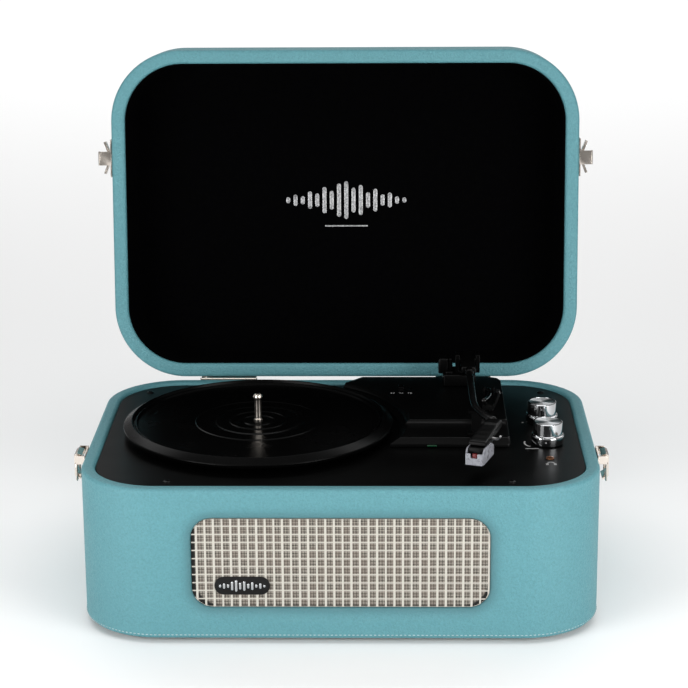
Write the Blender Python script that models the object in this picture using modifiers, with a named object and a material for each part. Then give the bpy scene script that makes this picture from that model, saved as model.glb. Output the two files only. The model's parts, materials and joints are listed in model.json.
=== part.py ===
# Suitcase record player, lid open: a Blender 4.5 model, one object for each piece.
# Lengths below are millimetres. "Case coordinates" have X to the right, Y to the back and
# Z up, from the middle of the case's underside; lid pieces are drawn as if the lid were shut.
import math

import bmesh
import bpy
from mathutils import Vector

MM = 0.001
GAP = 0.3                    # clearance between pieces that touch

# The leather-covered case
CASE_WIDTH = 360.0
CASE_DEPTH = 254.3
CASE_HEIGHT = 108.4
CORNER_RADIUS = 55.2         # seen from above
WALL = 9.5
EDGE_ROUNDING = 2.5
FOOT_HEIGHT = 4.0
GRILLE_SIZE = (203.4, 64.6)
GRILLE_CENTRE = (1.0, 54.5)  # X and Z on the front wall
GRILLE_RADIUS = 10.0
CLOTH_RECESS = 3.0
SOCKET_PLATE = (96.0, 30.0)
SOCKET_HEIGHT = 46.0

# The lid
LID_DEPTH = 50.0
LID_WALL = 10.6
LID_TOP = 4.0
LID_GAP = 0.4                # between the two rims when shut
LID_OPEN_ANGLE = 96.1        # degrees the lid has turned from shut to its stop
LID_TOP_ROUNDING = 6.0
HINGE_STANDOFF = 1.77        # hinge axis behind the case's back face
HINGE_DROP = 0.65            # and below the case's rim
HINGE_X = 91.7
HINGE_WIDTH = 43.0
LEAF_HEIGHT = 22.0
LEAF_THICKNESS = 1.0

# Deck, platter and mechanism
DECK_TOP = 106.4
DECK_THICKNESS = 2.5
PLATTER_CENTRE = (-61.3, 4.5)
PLATTER_RADIUS = 98.0
MAT_TOP = 114.5
BELT_RING_RADIUS = 62.0
PULLEY_CENTRE = (-130.6, 44.5)
PULLEY_RADIUS = 5.2
ISLAND_LEFT_RADIUS = 103.0   # the raised plate's left edge follows the platter
ISLAND_LOW = 112.4
ISLAND_HIGH = 115.2
KNOBS = {"volume": (147.2, -23.5), "mode": (146.0, 23.0)}
HEADPHONE_AT = (146.7, -56.9)
SELECTOR_AT = (43.0, 76.0)
AUTO_STOP_AT = (109.0, 24.0)
CUE_PIN = (109.0, 66.0, 118.2)
SCREWS = [(-117.4, -106.0), (117.4, -106.0), (-150.0, 98.0), (150.0, 98.0)]

# Tonearm
ARM_PIVOT = (93.7, 95.0)
ARM_AXIS_HEIGHT = 132.5
TUBE_RADIUS = 2.6
TUBE_HEIGHT = 133.0
HEAD_FRONT = (94.0, -97.6)   # middle of the headshell's front edge
HEAD_ANGLE = 18.5            # degrees the headshell turns in towards the record

# Latches, drawn for the left side and mirrored
LATCH_Y = -44.0
LEVER_PIN = (-184.6, 105.0)
BAIL_PIN = (-186.8, 100.9)

FINISHES = {                 # colour, roughness, metallic
    "leatherette": ((0.17, 0.46, 0.50), 0.55, 0.0),
    "black_plastic": ((0.012, 0.012, 0.012), 0.45, 0.0),
    "gloss_black": ((0.02, 0.02, 0.02), 0.2, 0.0),
    "black_felt": ((0.003, 0.003, 0.003), 0.95, 0.0),
    "grille_weave": ((0.42, 0.39, 0.33), 0.9, 0.0),
    "board": ((0.35, 0.24, 0.14), 0.8, 0.0),
    "paper": ((0.03, 0.03, 0.03), 0.9, 0.0),
    "steel": ((0.45, 0.45, 0.45), 0.35, 1.0),
    "nickel": ((0.75, 0.70, 0.64), 0.2, 1.0),
    "chrome": ((0.85, 0.85, 0.86), 0.08, 1.0),
    "brass": ((0.75, 0.55, 0.25), 0.3, 1.0),
    "rubber": ((0.02, 0.02, 0.02), 0.8, 0.0),
    "green_board": ((0.02, 0.16, 0.05), 0.5, 0.0),
    "green_lens": ((0.1, 0.9, 0.4), 0.2, 0.0),
    "red_plastic": ((0.5, 0.01, 0.01), 0.4, 0.0),
    "clear_white": ((0.8, 0.8, 0.82), 0.3, 0.0),
}


for old in list(bpy.data.objects):
    bpy.data.objects.remove(old, do_unlink=True)

player = bpy.data.collections.new("suitcase_record_player")
bpy.context.scene.collection.children.link(player)
cutter_collection = bpy.data.collections.new("cutters")
bpy.context.scene.collection.children.link(cutter_collection)


def finish_material(name):
    """The Principled material of a finish, made once."""
    material = bpy.data.materials.get(name)
    if material is None:
        colour, roughness, metallic = FINISHES[name]
        material = bpy.data.materials.new(name)
        material.use_nodes = True
        shader = material.node_tree.nodes["Principled BSDF"]
        shader.inputs["Base Color"].default_value = (*colour, 1.0)
        shader.inputs["Roughness"].default_value = roughness
        shader.inputs["Metallic"].default_value = metallic
    return material


def pivot(name, at, parent=None, turn=(0.0, 0.0, 0.0)):
    """An empty at a point in case coordinates; turn is in degrees about X, Y and Z."""
    empty = bpy.data.objects.new(name, None)
    player.objects.link(empty)
    empty["at"] = list(at)
    if parent is not None:
        empty.parent = parent
        at = [a - b for a, b in zip(at, parent["at"])]
    empty.location = [v * MM for v in at]
    empty.rotation_euler = [math.radians(v) for v in turn]
    return empty


# Everything hangs from this empty, which puts the object's lowest middle point at the origin.
opened = math.radians(LID_OPEN_ANGLE - 90.0)
LID_REACH = (CASE_DEPTH / 2 + HINGE_STANDOFF
             + math.cos(opened) * (LID_DEPTH + LID_GAP + HINGE_DROP - LID_TOP_ROUNDING)
             + math.sin(opened) * (CASE_DEPTH + HINGE_STANDOFF - LID_TOP_ROUNDING) + LID_TOP_ROUNDING)
BACK_SHIFT = (LID_REACH - CASE_DEPTH / 2) / 2
case_frame = pivot("case_frame", (0.0, 0.0, 0.0))
case_frame.location = (0.0, -BACK_SHIFT * MM, FOOT_HEIGHT * MM)

HINGE_Y = CASE_DEPTH / 2 + HINGE_STANDOFF
HINGE_Z = CASE_HEIGHT - HINGE_DROP
LID_BOTTOM = CASE_HEIGHT + LID_GAP
lid_pivot = pivot("lid_pivot", (0.0, HINGE_Y, HINGE_Z), case_frame, (-LID_OPEN_ANGLE, 0.0, 0.0))


def place(name, mesh, finish, at, parent=None, turn=(0.0, 0.0, 0.0), collection=None):
    """An object with its origin at a point in case coordinates, under its parent empty."""
    parent = parent or case_frame
    thing = bpy.data.objects.new(name, mesh)
    (collection or player).objects.link(thing)
    thing.parent = parent
    thing.location = [(a - b) * MM for a, b in zip(at, parent["at"])]
    thing.rotation_euler = [math.radians(v) for v in turn]
    if finish:
        mesh.materials.clear()
        mesh.materials.append(finish_material(finish))
    return thing


def as_cutter(thing):
    """Takes an object out of the model and keeps it as a Boolean's tool."""
    for collection in thing.users_collection:
        collection.objects.unlink(thing)
    cutter_collection.objects.link(thing)
    thing.hide_render = True
    thing.display_type = "WIRE"
    return thing


def boolean(thing, tool, operation):
    modifier = thing.modifiers.new(operation.title(), "BOOLEAN")
    modifier.operation = operation
    modifier.object = as_cutter(tool)


def cut(thing, *tools):
    for tool in tools:
        boolean(thing, tool, "DIFFERENCE")
    return thing


def join(thing, *tools):
    for tool in tools:
        boolean(thing, tool, "UNION")
    return thing


def bevel(thing, width, segments=1, angle=40.0):
    modifier = thing.modifiers.new("Bevel", "BEVEL")
    modifier.width = width * MM
    modifier.segments = segments
    modifier.limit_method = "ANGLE"
    modifier.angle_limit = math.radians(angle)
    return thing


def box(name, size, centre, finish=None, parent=None, turn=(0.0, 0.0, 0.0)):
    shape = bmesh.new()
    bmesh.ops.create_cube(shape, size=1.0)
    bmesh.ops.scale(shape, vec=Vector(size) * MM, verts=shape.verts)
    mesh = bpy.data.meshes.new(name)
    shape.to_mesh(mesh)
    shape.free()
    return place(name, mesh, finish, centre, parent, turn)


def rod(name, radius, length, centre, finish=None, parent=None, turn=(0.0, 0.0, 0.0), sides=16):
    """A cylinder along its own Z."""
    shape = bmesh.new()
    bmesh.ops.create_cone(shape, cap_ends=True, segments=sides, radius1=radius * MM,
                          radius2=radius * MM, depth=length * MM)
    mesh = bpy.data.meshes.new(name)
    shape.to_mesh(mesh)
    shape.free()
    thing = place(name, mesh, finish, centre, parent, turn)
    mesh.shade_smooth()
    mesh.set_sharp_from_angle(angle=math.radians(40))
    return thing


def turned(name, profile, at, finish=None, parent=None, turn=(0.0, 0.0, 0.0), steps=32, ring=False):
    """A profile of (radius, height) turned about Z; it runs down the outer side."""
    points = [(radius * MM, 0.0, height * MM) for radius, height in profile]
    edges = [(i, i + 1) for i in range(len(points) - 1)]
    if ring:
        edges.append((len(points) - 1, 0))
    mesh = bpy.data.meshes.new(name)
    mesh.from_pydata(points, edges, [])
    thing = place(name, mesh, finish, at, parent, turn)
    screw = thing.modifiers.new("Turn", "SCREW")
    screw.steps = steps
    screw.render_steps = steps
    screw.use_merge_vertices = True
    screw.merge_threshold = 0.00001
    screw.use_smooth_shade = False
    return thing


def rounded_rectangle(width, depth, radius, centre=(0.0, 0.0), steps=8):
    """Corner points of a rectangle with round corners, counter-clockwise."""
    points = []
    for corner, (sign_x, sign_y) in enumerate([(1, 1), (-1, 1), (-1, -1), (1, -1)]):
        for step in range(steps + 1):
            angle = math.radians(90.0 * (corner + step / steps))
            points.append((centre[0] + sign_x * (width / 2 - radius) + radius * math.cos(angle),
                           centre[1] + sign_y * (depth / 2 - radius) + radius * math.sin(angle)))
    return points


def circle(radius, centre, steps=16):
    turns = [2 * math.pi * step / steps for step in range(steps)]
    return [(centre[0] + radius * math.cos(t), centre[1] + radius * math.sin(t)) for t in turns]


def plate(name, outlines, thickness, at, finish=None, parent=None, turn=(0.0, 0.0, 0.0)):
    """Flat outlines in XY, the first outside and the others holes, extruded about their plane."""
    curve = bpy.data.curves.new(name, "CURVE")
    curve.dimensions = "2D"
    curve.fill_mode = "BOTH"
    curve.extrude = thickness / 2 * MM
    for outline in outlines:
        spline = curve.splines.new("POLY")
        spline.points.add(len(outline) - 1)
        for point, (x, y) in zip(spline.points, outline):
            point.co = (x * MM, y * MM, 0.0, 1.0)
        spline.use_cyclic_u = True
    return curve_to_piece(name, curve, finish, at, parent, turn)


def wire(name, route, radius, finish=None, parent=None, at=(0.0, 0.0, 0.0)):
    """A round tube along points in case coordinates, closed at its ends."""
    curve = bpy.data.curves.new(name, "CURVE")
    curve.dimensions = "3D"
    curve.bevel_depth = radius * MM
    curve.bevel_resolution = 2
    curve.use_fill_caps = True
    spline = curve.splines.new("POLY")
    spline.points.add(len(route) - 1)
    for point, place_at in zip(spline.points, route):
        point.co = (*[(a - b) * MM for a, b in zip(place_at, at)], 1.0)
    return curve_to_piece(name, curve, finish, at, parent)


def curve_to_piece(name, curve, finish, at, parent=None, turn=(0.0, 0.0, 0.0)):
    """Turns a curve into a mesh piece, with its caps welded on."""
    drawn = place(name + "_curve", curve, None, at, parent, turn)
    bpy.context.view_layer.update()
    graph = bpy.context.evaluated_depsgraph_get()
    mesh = bpy.data.meshes.new_from_object(drawn.evaluated_get(graph))
    shape = bmesh.new()
    shape.from_mesh(mesh)
    bmesh.ops.remove_doubles(shape, verts=shape.verts, dist=0.000001)
    bmesh.ops.recalc_face_normals(shape, faces=shape.faces)
    shape.to_mesh(mesh)
    shape.free()
    bpy.data.objects.remove(drawn, do_unlink=True)
    return place(name, mesh, finish, at, parent, turn)


def smooth_path(points, steps):
    """A Catmull-Rom curve through the points."""
    ends = [points[0], *points, points[-1]]
    path = []
    for i in range(1, len(ends) - 2):
        before, start, end, after = (Vector(p) for p in ends[i - 1:i + 3])
        for step in range(steps):
            t = step / steps
            path.append(0.5 * (2 * start + (end - before) * t
                               + (2 * before - 5 * start + 4 * end - after) * t ** 2
                               + (3 * start - before - 3 * end + after) * t ** 3))
    path.append(Vector(points[-1]))
    return path


def loop_round(centre_a, radius_a, centre_b, radius_b, steps=24):
    """The tight loop round two circles: an arc of each, joined by straight runs."""
    across = Vector(centre_b) - Vector(centre_a)
    heading = math.atan2(across.y, across.x)
    lean = math.acos((radius_a - radius_b) / across.length)
    points = []
    for centre, radius, start, end in [
            (centre_b, radius_b, heading - lean, heading + lean),
            (centre_a, radius_a, heading + lean, heading - lean + 2 * math.pi)]:
        for step in range(steps + 1):
            angle = start + (end - start) * step / steps
            points.append((centre[0] + radius * math.cos(angle), centre[1] + radius * math.sin(angle)))
    return points


# ---- case -------------------------------------------------------------------------------

def make_case():
    inner = (CASE_WIDTH - 2 * WALL, CASE_DEPTH - 2 * WALL, CORNER_RADIUS - WALL)
    shell = plate("case_shell",
                  [rounded_rectangle(CASE_WIDTH, CASE_DEPTH, CORNER_RADIUS, steps=10),
                   rounded_rectangle(*inner, steps=10)],
                  CASE_HEIGHT, (0.0, 0.0, CASE_HEIGHT / 2), "leatherette")
    bevel(shell, EDGE_ROUNDING, 2, 60.0)
    grille_hole = plate("grille_hole", [rounded_rectangle(*GRILLE_SIZE, GRILLE_RADIUS, steps=6)],
                        30.0, (GRILLE_CENTRE[0], -CASE_DEPTH / 2, GRILLE_CENTRE[1]),
                        turn=(90.0, 0.0, 0.0))
    socket_hole = plate("socket_hole",
                        [rounded_rectangle(SOCKET_PLATE[0] + 2 * GAP, SOCKET_PLATE[1] + 2 * GAP, 4.0, steps=4)],
                        30.0, (0.0, CASE_DEPTH / 2, SOCKET_HEIGHT), turn=(90.0, 0.0, 0.0))
    cut(shell, grille_hole, socket_hole)
    post_top = DECK_TOP - DECK_THICKNESS - GAP
    for number, (x, y) in enumerate(SCREWS):
        if y > 0:            # the back posts reach out to the round corners
            size, centre = (22.0, 12.0), (x + math.copysign(5.0, x), y)
        else:
            size, centre = (13.0, 18.0), (x, 17.5 - CASE_DEPTH / 2)
        join(shell, box(f"deck_post_{number}", (*size, 84.0), (*centre, post_top - 42.0)))

    plate("bottom_panel", [rounded_rectangle(inner[0] - 2 * GAP, inner[1] - 2 * GAP, inner[2] - GAP)],
          5.0, (0.0, 0.0, 3.5), "board")
    number = 1
    for x in (-138.0, 138.0):
        for y in (-86.0, 86.0):
            turned(f"foot_{number}", [(0, 0.7), (9.5, 0.7), (9.5, -2.6), (8.3, -FOOT_HEIGHT), (0, -FOOT_HEIGHT)],
                   (x, y, 0.0), "rubber", steps=20)
            number += 1


def make_front():
    front = -CASE_DEPTH / 2
    cloth_y = front + CLOTH_RECESS
    opening = (GRILLE_SIZE[0] - 2 * GAP, GRILLE_SIZE[1] - 2 * GAP)
    outline = rounded_rectangle(*opening, GRILLE_RADIUS - GAP, steps=6)
    facing = (90.0, 0.0, 0.0)
    plate("grille_cloth", [outline], 1.2, (GRILLE_CENTRE[0], cloth_y + 0.6, GRILLE_CENTRE[1]),
          "grille_weave", turn=facing)

    speaker_at = [GRILLE_CENTRE[0] - 54.0, GRILLE_CENTRE[0] + 54.0]
    holes = [circle(26.0, (x - GRILLE_CENTRE[0], 0.0), 24) for x in speaker_at]
    plug_front = cloth_y + 1.2 + GAP
    back = front + WALL + GAP + 6.0
    baffle = plate("speaker_baffle", [outline, *holes], back - plug_front,
                   (GRILLE_CENTRE[0], (plug_front + back) / 2, GRILLE_CENTRE[1]), "board", turn=facing)
    flange = plate("baffle_flange", [rounded_rectangle(opening[0] + 15.0, opening[1] + 15.0, 6.0, steps=3),
                                     *holes],
                   6.0, (GRILLE_CENTRE[0], back - 3.0, GRILLE_CENTRE[1]), turn=facing)
    join(baffle, flange)

    basket = [(0, 16), (12, 16), (25.5, 0), (33, 0), (33, 2), (28, 2.5), (16.5, 16.5), (16.5, 18),
              (20, 18), (20, 29), (0, 29)]
    cone = [(0, 12.6), (8, 12.6), (24.2, -1.2), (25.3, -1.2), (25.3, -2.4), (23.6, -2.4), (7.6, 11.2),
            (0, 10.4)]
    for side, x in zip(("left", "right"), speaker_at):
        at = (x, back + GAP, GRILLE_CENTRE[1])
        turned(f"speaker_frame_{side}", [(r, -d) for r, d in basket], at, "steel",
               turn=(90.0, 0.0, 0.0), steps=20)
        turned(f"speaker_cone_{side}", [(r, -d) for r, d in reversed(cone)], at, "paper",
               turn=(90.0, 0.0, 0.0), steps=20)

    plate("grille_badge", [rounded_rectangle(38.0, 13.0, 6.4, steps=6)], 1.4,
          (-66.1, cloth_y - GAP - 0.7, 38.2), "chrome", turn=facing)


def make_sockets():
    plate_y = CASE_DEPTH / 2 - 4.0
    facing = (90.0, 0.0, 0.0)
    holes = {"dc_socket": (30.0, 5.0), "line_in_socket": (12.0, 3.6),
             "rca_left": (-14.0, 5.0), "rca_right": (-32.0, 5.0)}
    plate("socket_plate",
          [rounded_rectangle(*SOCKET_PLATE, 3.7, steps=4), *[circle(r, (x, 0.0), 16) for x, r in holes.values()]],
          2.4, (0.0, plate_y, SOCKET_HEIGHT), "black_plastic", turn=facing)
    power = [(0, -1.2), (1.0, -1.4), (1.0, -11), (2.9, -11), (2.9, 1.8), (4.7, 1.8), (4.7, -2.6), (6, -2.6),
             (6, -14), (0, -14)]
    turned("dc_socket", power, (holes["dc_socket"][0], plate_y, SOCKET_HEIGHT), "black_plastic",
           turn=(-90.0, 0.0, 0.0), steps=16)
    line_in = [(0, -12), (1.8, -12), (1.8, 1.6), (3.3, 1.6), (3.3, -2.6), (4.5, -2.6), (4.5, -14), (0, -14)]
    turned("line_in_socket", line_in, (holes["line_in_socket"][0], plate_y, SOCKET_HEIGHT), "chrome",
           turn=(-90.0, 0.0, 0.0), steps=16)
    block = box("rca_sockets", (36.0, 9.0, 13.0), (-23.0, plate_y - 6.2, SOCKET_HEIGHT), "black_plastic")
    for name in ("rca_left", "rca_right"):
        barrel = turned(name, [(0, -4), (1.7, -4), (1.7, 9), (4.2, 9), (4.2, -4.5), (0, -4.5)],
                        (holes[name][0], plate_y, SOCKET_HEIGHT), turn=(-90.0, 0.0, 0.0), steps=16)
        join(block, barrel)


# ---- deck -------------------------------------------------------------------------------

def island_outline(front_y, edge):
    """The raised plate seen from above: its left side is an arc round the platter."""
    radius = ISLAND_LEFT_RADIUS + edge
    start = math.asin((front_y + edge - PLATTER_CENTRE[1]) / radius)
    end = math.radians(55.8)
    points = []
    for step in range(15):
        angle = start + (end - start) * step / 14
        points.append((PLATTER_CENTRE[0] + radius * math.cos(angle), PLATTER_CENTRE[1] + radius * math.sin(angle)))
    side = edge * 0.15
    points += [(12.0 + side, 112.0 - side), (110.0, 112.0 - side), (117.5 - side * 0.7, 109.0 - side * 0.7),
               (120.5 - side, 101.5)]
    points.append((120.5 - side, front_y + edge))
    return points


def chamfered_plate(name, bottom, top, outline_at, width, finish=None):
    """A plate whose top edge slopes in by width."""
    chamfer = width
    lower = outline_at(0.0)
    upper = outline_at(width)
    heights = [(lower, bottom), (lower, top - chamfer * 0.62), (upper, top)]
    shape = bmesh.new()
    rings = [[shape.verts.new((x * MM, y * MM, z * MM)) for x, y in outline] for outline, z in heights]
    for below, above in zip(rings, rings[1:]):
        for i in range(len(below)):
            j = (i + 1) % len(below)
            shape.faces.new((below[i], below[j], above[j], above[i]))
    shape.faces.new(list(reversed(rings[0])))
    shape.faces.new(rings[-1])
    bmesh.ops.recalc_face_normals(shape, faces=shape.faces)
    mesh = bpy.data.meshes.new(name)
    shape.to_mesh(mesh)
    shape.free()
    return place(name, mesh, finish, (0.0, 0.0, 0.0))


def make_deck():
    width = CASE_WIDTH - 2 * WALL - 1.0
    depth = CASE_DEPTH - 2 * WALL - 1.0
    holes = [circle(3.0, PLATTER_CENTRE, 16), circle(8.5, PULLEY_CENTRE, 20),
             circle(3.3, HEADPHONE_AT, 16), *[circle(4.0, at, 16) for at in KNOBS.values()],
             *[circle(1.8, at, 12) for at in SCREWS]]
    deck = plate("deck_plate", [rounded_rectangle(width, depth, CORNER_RADIUS - WALL - 0.5, steps=8), *holes],
                 DECK_THICKNESS, (0.0, 0.0, DECK_TOP - DECK_THICKNESS / 2), "black_plastic")
    boss = turned("bearing_boss", [(3.0, DECK_TOP - 1.0), (9.0, DECK_TOP - 1.0), (9.0, 84.0), (3.0, 84.0)],
                  (*PLATTER_CENTRE, 0.0), steps=16, ring=True)
    join(deck, boss)

    low = chamfered_plate("mechanism_plate", DECK_TOP + GAP, ISLAND_LOW,
                          lambda edge: island_outline(-33.0, edge), 5.5, "black_plastic")
    high = chamfered_plate("island_step", ISLAND_LOW - 2.0, ISLAND_HIGH,
                           lambda edge: island_outline(-2.2, edge + 4.0), 3.5)
    join(low, high)
    for side in (-1.0, 1.0):
        join(low, box(f"cue_ear_{side:+.0f}", (1.6, 5.0, 7.0),
                      (CUE_PIN[0] + side * 3.4, CUE_PIN[1], ISLAND_HIGH + 1.9)))
    cut(low, rod("cue_pin_hole", 1.2, 20.0, CUE_PIN, turn=(0.0, 90.0, 0.0), sides=12),
        box("selector_slot", (15.0, 2.6, 9.0), (*SELECTOR_AT, ISLAND_HIGH)),
        box("auto_stop_slot", (1.8, 10.0, 9.0), (AUTO_STOP_AT[0], AUTO_STOP_AT[1] + 2.0, ISLAND_HIGH)))

    box("power_led", (7.0, 1.2, 1.8), (64.5, -33.0 - GAP - 0.6, 108.3), "green_lens")
    turned("headphone_socket", [(0, 92), (1.8, 92), (1.8, 107.6), (3.6, 107.4), (3.9, 106.7), (3.0, 106.7),
                                (3.0, 101), (5.5, 101), (5.5, 88), (0, 88)],
           (*HEADPHONE_AT, 0.0), "brass", steps=20)


def make_drive():
    spindle = [(0, 135.2), (2.4, 134.8), (3.4, 133.2), (3.4, 131.4), (2.7, 130.6), (2.7, 116.3), (3.5, 116.1),
               (3.5, 114.8), (2.7, 114.8), (2.7, 84), (0, 84)]
    turned("spindle", spindle, (*PLATTER_CENTRE, 0.0), "nickel", steps=20)

    platter_pivot = pivot("platter_pivot", (*PLATTER_CENTRE, MAT_TOP), case_frame)
    belt = BELT_RING_RADIUS
    rim = PLATTER_RADIUS
    profile = [(3.0, 114.5), (87.3, 114.5), (88.2, 117.5), (rim - 0.8, 115.3), (rim, 114.4), (rim - 0.4, 111.2),
               (95.4, 111.2), (95.0, 112.6), (belt + 1.0, 112.6), (belt, 112.0), (belt, 108.2), (belt - 2.4, 108.2),
               (belt - 2.4, 112.6), (8.0, 112.6), (8.0, 107.2), (3.0, 107.2)]
    turned("platter", [(r, z - MAT_TOP) for r, z in profile], (*PLATTER_CENTRE, MAT_TOP), "gloss_black",
           platter_pivot, steps=48, ring=True)

    pulley_pivot = pivot("pulley_pivot", (*PULLEY_CENTRE, 110.0), case_frame)
    radius = PULLEY_RADIUS
    pulley = [(0, 111.9), (radius + 0.6, 111.9), (radius, 111.4), (radius, 108.6), (radius + 0.6, 108.1),
              (radius + 0.6, 107.6), (1.2, 107.6), (1.2, 101.3), (0, 101.3)]
    turned("motor_pulley", [(r, z - 110.0) for r, z in pulley], (*PULLEY_CENTRE, 110.0), "brass",
           pulley_pivot, steps=20)
    turned("motor", [(0, 100.9), (9, 100.9), (9, 103.6), (16, 103.6), (16, 78), (0, 78)],
           (*PULLEY_CENTRE, 0.0), "steel", steps=24)
    inside = loop_round(PLATTER_CENTRE, belt + GAP, PULLEY_CENTRE, radius + GAP)
    outside = loop_round(PLATTER_CENTRE, belt + GAP + 0.8, PULLEY_CENTRE, radius + GAP + 0.8)
    plate("drive_belt", [outside, inside], 2.4, (0.0, 0.0, 110.0), "rubber")


def make_controls():
    for name, part in (("volume", "volume_pot"), ("mode", "mode_switch")):
        at = KNOBS[name]
        turned(part, [(0, 98), (2.9, 98), (2.9, 106.5), (3.7, 106.5), (3.7, 103), (8, 103), (8, 92), (0, 92)],
               (*at, 0.0), "steel", steps=20)
        axis = pivot(f"{name}_pivot", (*at, 107.0), case_frame)
        knob = [(0, 122.8), (9.2, 122.9), (9.9, 123.3), (10.4, 122.7), (10.4, 113.8), (11.5, 113.4), (11.8, 112.6),
                (11.5, 107.0), (2.5, 107.0), (2.5, 98.4), (0, 98.4)]
        turned(f"{name}_knob", [(r, z - 107.0) for r, z in knob], (*at, 107.0), "chrome", axis, steps=24)

    box("main_board", (110.0, 70.0, 1.6), (75.0, 30.0, 14.0), "green_board")
    board = bpy.data.objects["main_board"]
    for number, (x, y, w, d, h) in enumerate([(40, 12, 16, 20, 12), (62, 50, 10, 10, 14), (80, 50, 10, 10, 14),
                                              (100, 20, 22, 14, 6), (112, 48, 14, 18, 10)]):
        join(board, box(f"board_part_{number}", (w, d, h), (x, y, 14.0 + h / 2)))
    for number, (x, y) in enumerate([(25, 0), (125, 0), (25, 60), (125, 60)]):
        join(board, rod(f"board_leg_{number}", 2.5, 8.0, (x, y, 10.3), sides=10))

    top = ISLAND_HIGH + GAP
    selector_pivot = pivot("selector_pivot", (*SELECTOR_AT, top), case_frame)
    lever = box("speed_selector", (4.0, 7.0, 3.0), (*SELECTOR_AT, top + 1.5), "gloss_black", selector_pivot)
    join(lever, box("selector_stem", (3.6, 1.8, 4.5), (*SELECTOR_AT, top - 1.3), None, selector_pivot))
    auto_stop_pivot = pivot("auto_stop_pivot", (*AUTO_STOP_AT, top), case_frame)
    switch = box("auto_stop_switch", (3.0, 5.0, 2.2), (*AUTO_STOP_AT, top + 1.1), "gloss_black", auto_stop_pivot)
    join(switch, box("auto_stop_stem", (1.2, 3.6, 4.5), (*AUTO_STOP_AT, top - 1.3), None, auto_stop_pivot))


# ---- tonearm ----------------------------------------------------------------------------

def make_arm_stand():
    x, y = ARM_PIVOT
    tower = box("tonearm_tower", (24.5, 24.0, 9.2), (87.25, 96.0, ISLAND_HIGH + GAP + 4.6), "black_plastic")
    join(tower, box("lift_housing", (8.0, 13.0, 12.0), (75.5, 99.5, 129.0)))
    bevel(tower, 0.6)

    rest = box("arm_rest", (13.0, 11.0, 1.5), (96.5, -19.0, ISLAND_LOW + GAP + 0.75), "black_plastic")
    join(rest, box("rest_post", (7.0, 7.0, 16.0), (96.5, -19.0, 121.0)),
         box("rest_shelf", (11.5, 7.0, 2.0), (96.3, -19.0, TUBE_HEIGHT - TUBE_RADIUS - GAP - 1.0)),
         box("rest_stop", (1.6, 7.0, 6.0), (101.2, -19.0, 131.6)))

    hook_pin = (103.6, -19.0, 133.0)
    join(rest, rod("clip_pin", 0.8, 7.2, hook_pin, turn=(90.0, 0.0, 0.0), sides=12))
    for side in (-1.0, 1.0):
        join(rest, box(f"clip_ear_{side:+.0f}", (4.4, 1.0, 3.2), (102.7, -19.0 + side * 3.35, 132.8)))
    hook_pivot = pivot("clip_pivot", hook_pin, case_frame, (0.0, 110.0, 0.0))
    hook = [(-1.2, -1.0), (1.2, -1.0), (1.2, 3.6), (-1.0, 5.8), (-12.2, 5.8), (-13.6, 4.4), (-13.6, 2.0),
            (-12.3, 2.0), (-12.1, 4.3), (-2.4, 4.3), (-1.2, 3.0)]
    clip = plate("arm_clip", [list(reversed(hook))], 5.0, hook_pin, "black_plastic", hook_pivot, (90.0, 0.0, 0.0))
    cut(clip, rod("clip_hole", 0.98, 20.0, hook_pin, None, hook_pivot, (90.0, 0.0, 0.0), 12))

    cue_pivot = pivot("cue_pivot", CUE_PIN, case_frame)
    cue = [(0, 0, 0), (0, -10, 0.2), (-1.5, -20, 0.8), (-4, -32, 2.6), (-5.5, -40, 4.6)]
    route = smooth_path([tuple(a + b for a, b in zip(CUE_PIN, p)) for p in cue], 3)
    lever = wire("cue_lever", route, 1.7, "gloss_black", cue_pivot, CUE_PIN)
    join(lever, rod("cue_pin", 1.0, 9.0, CUE_PIN, None, cue_pivot, (0.0, 90.0, 0.0), 12))


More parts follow.
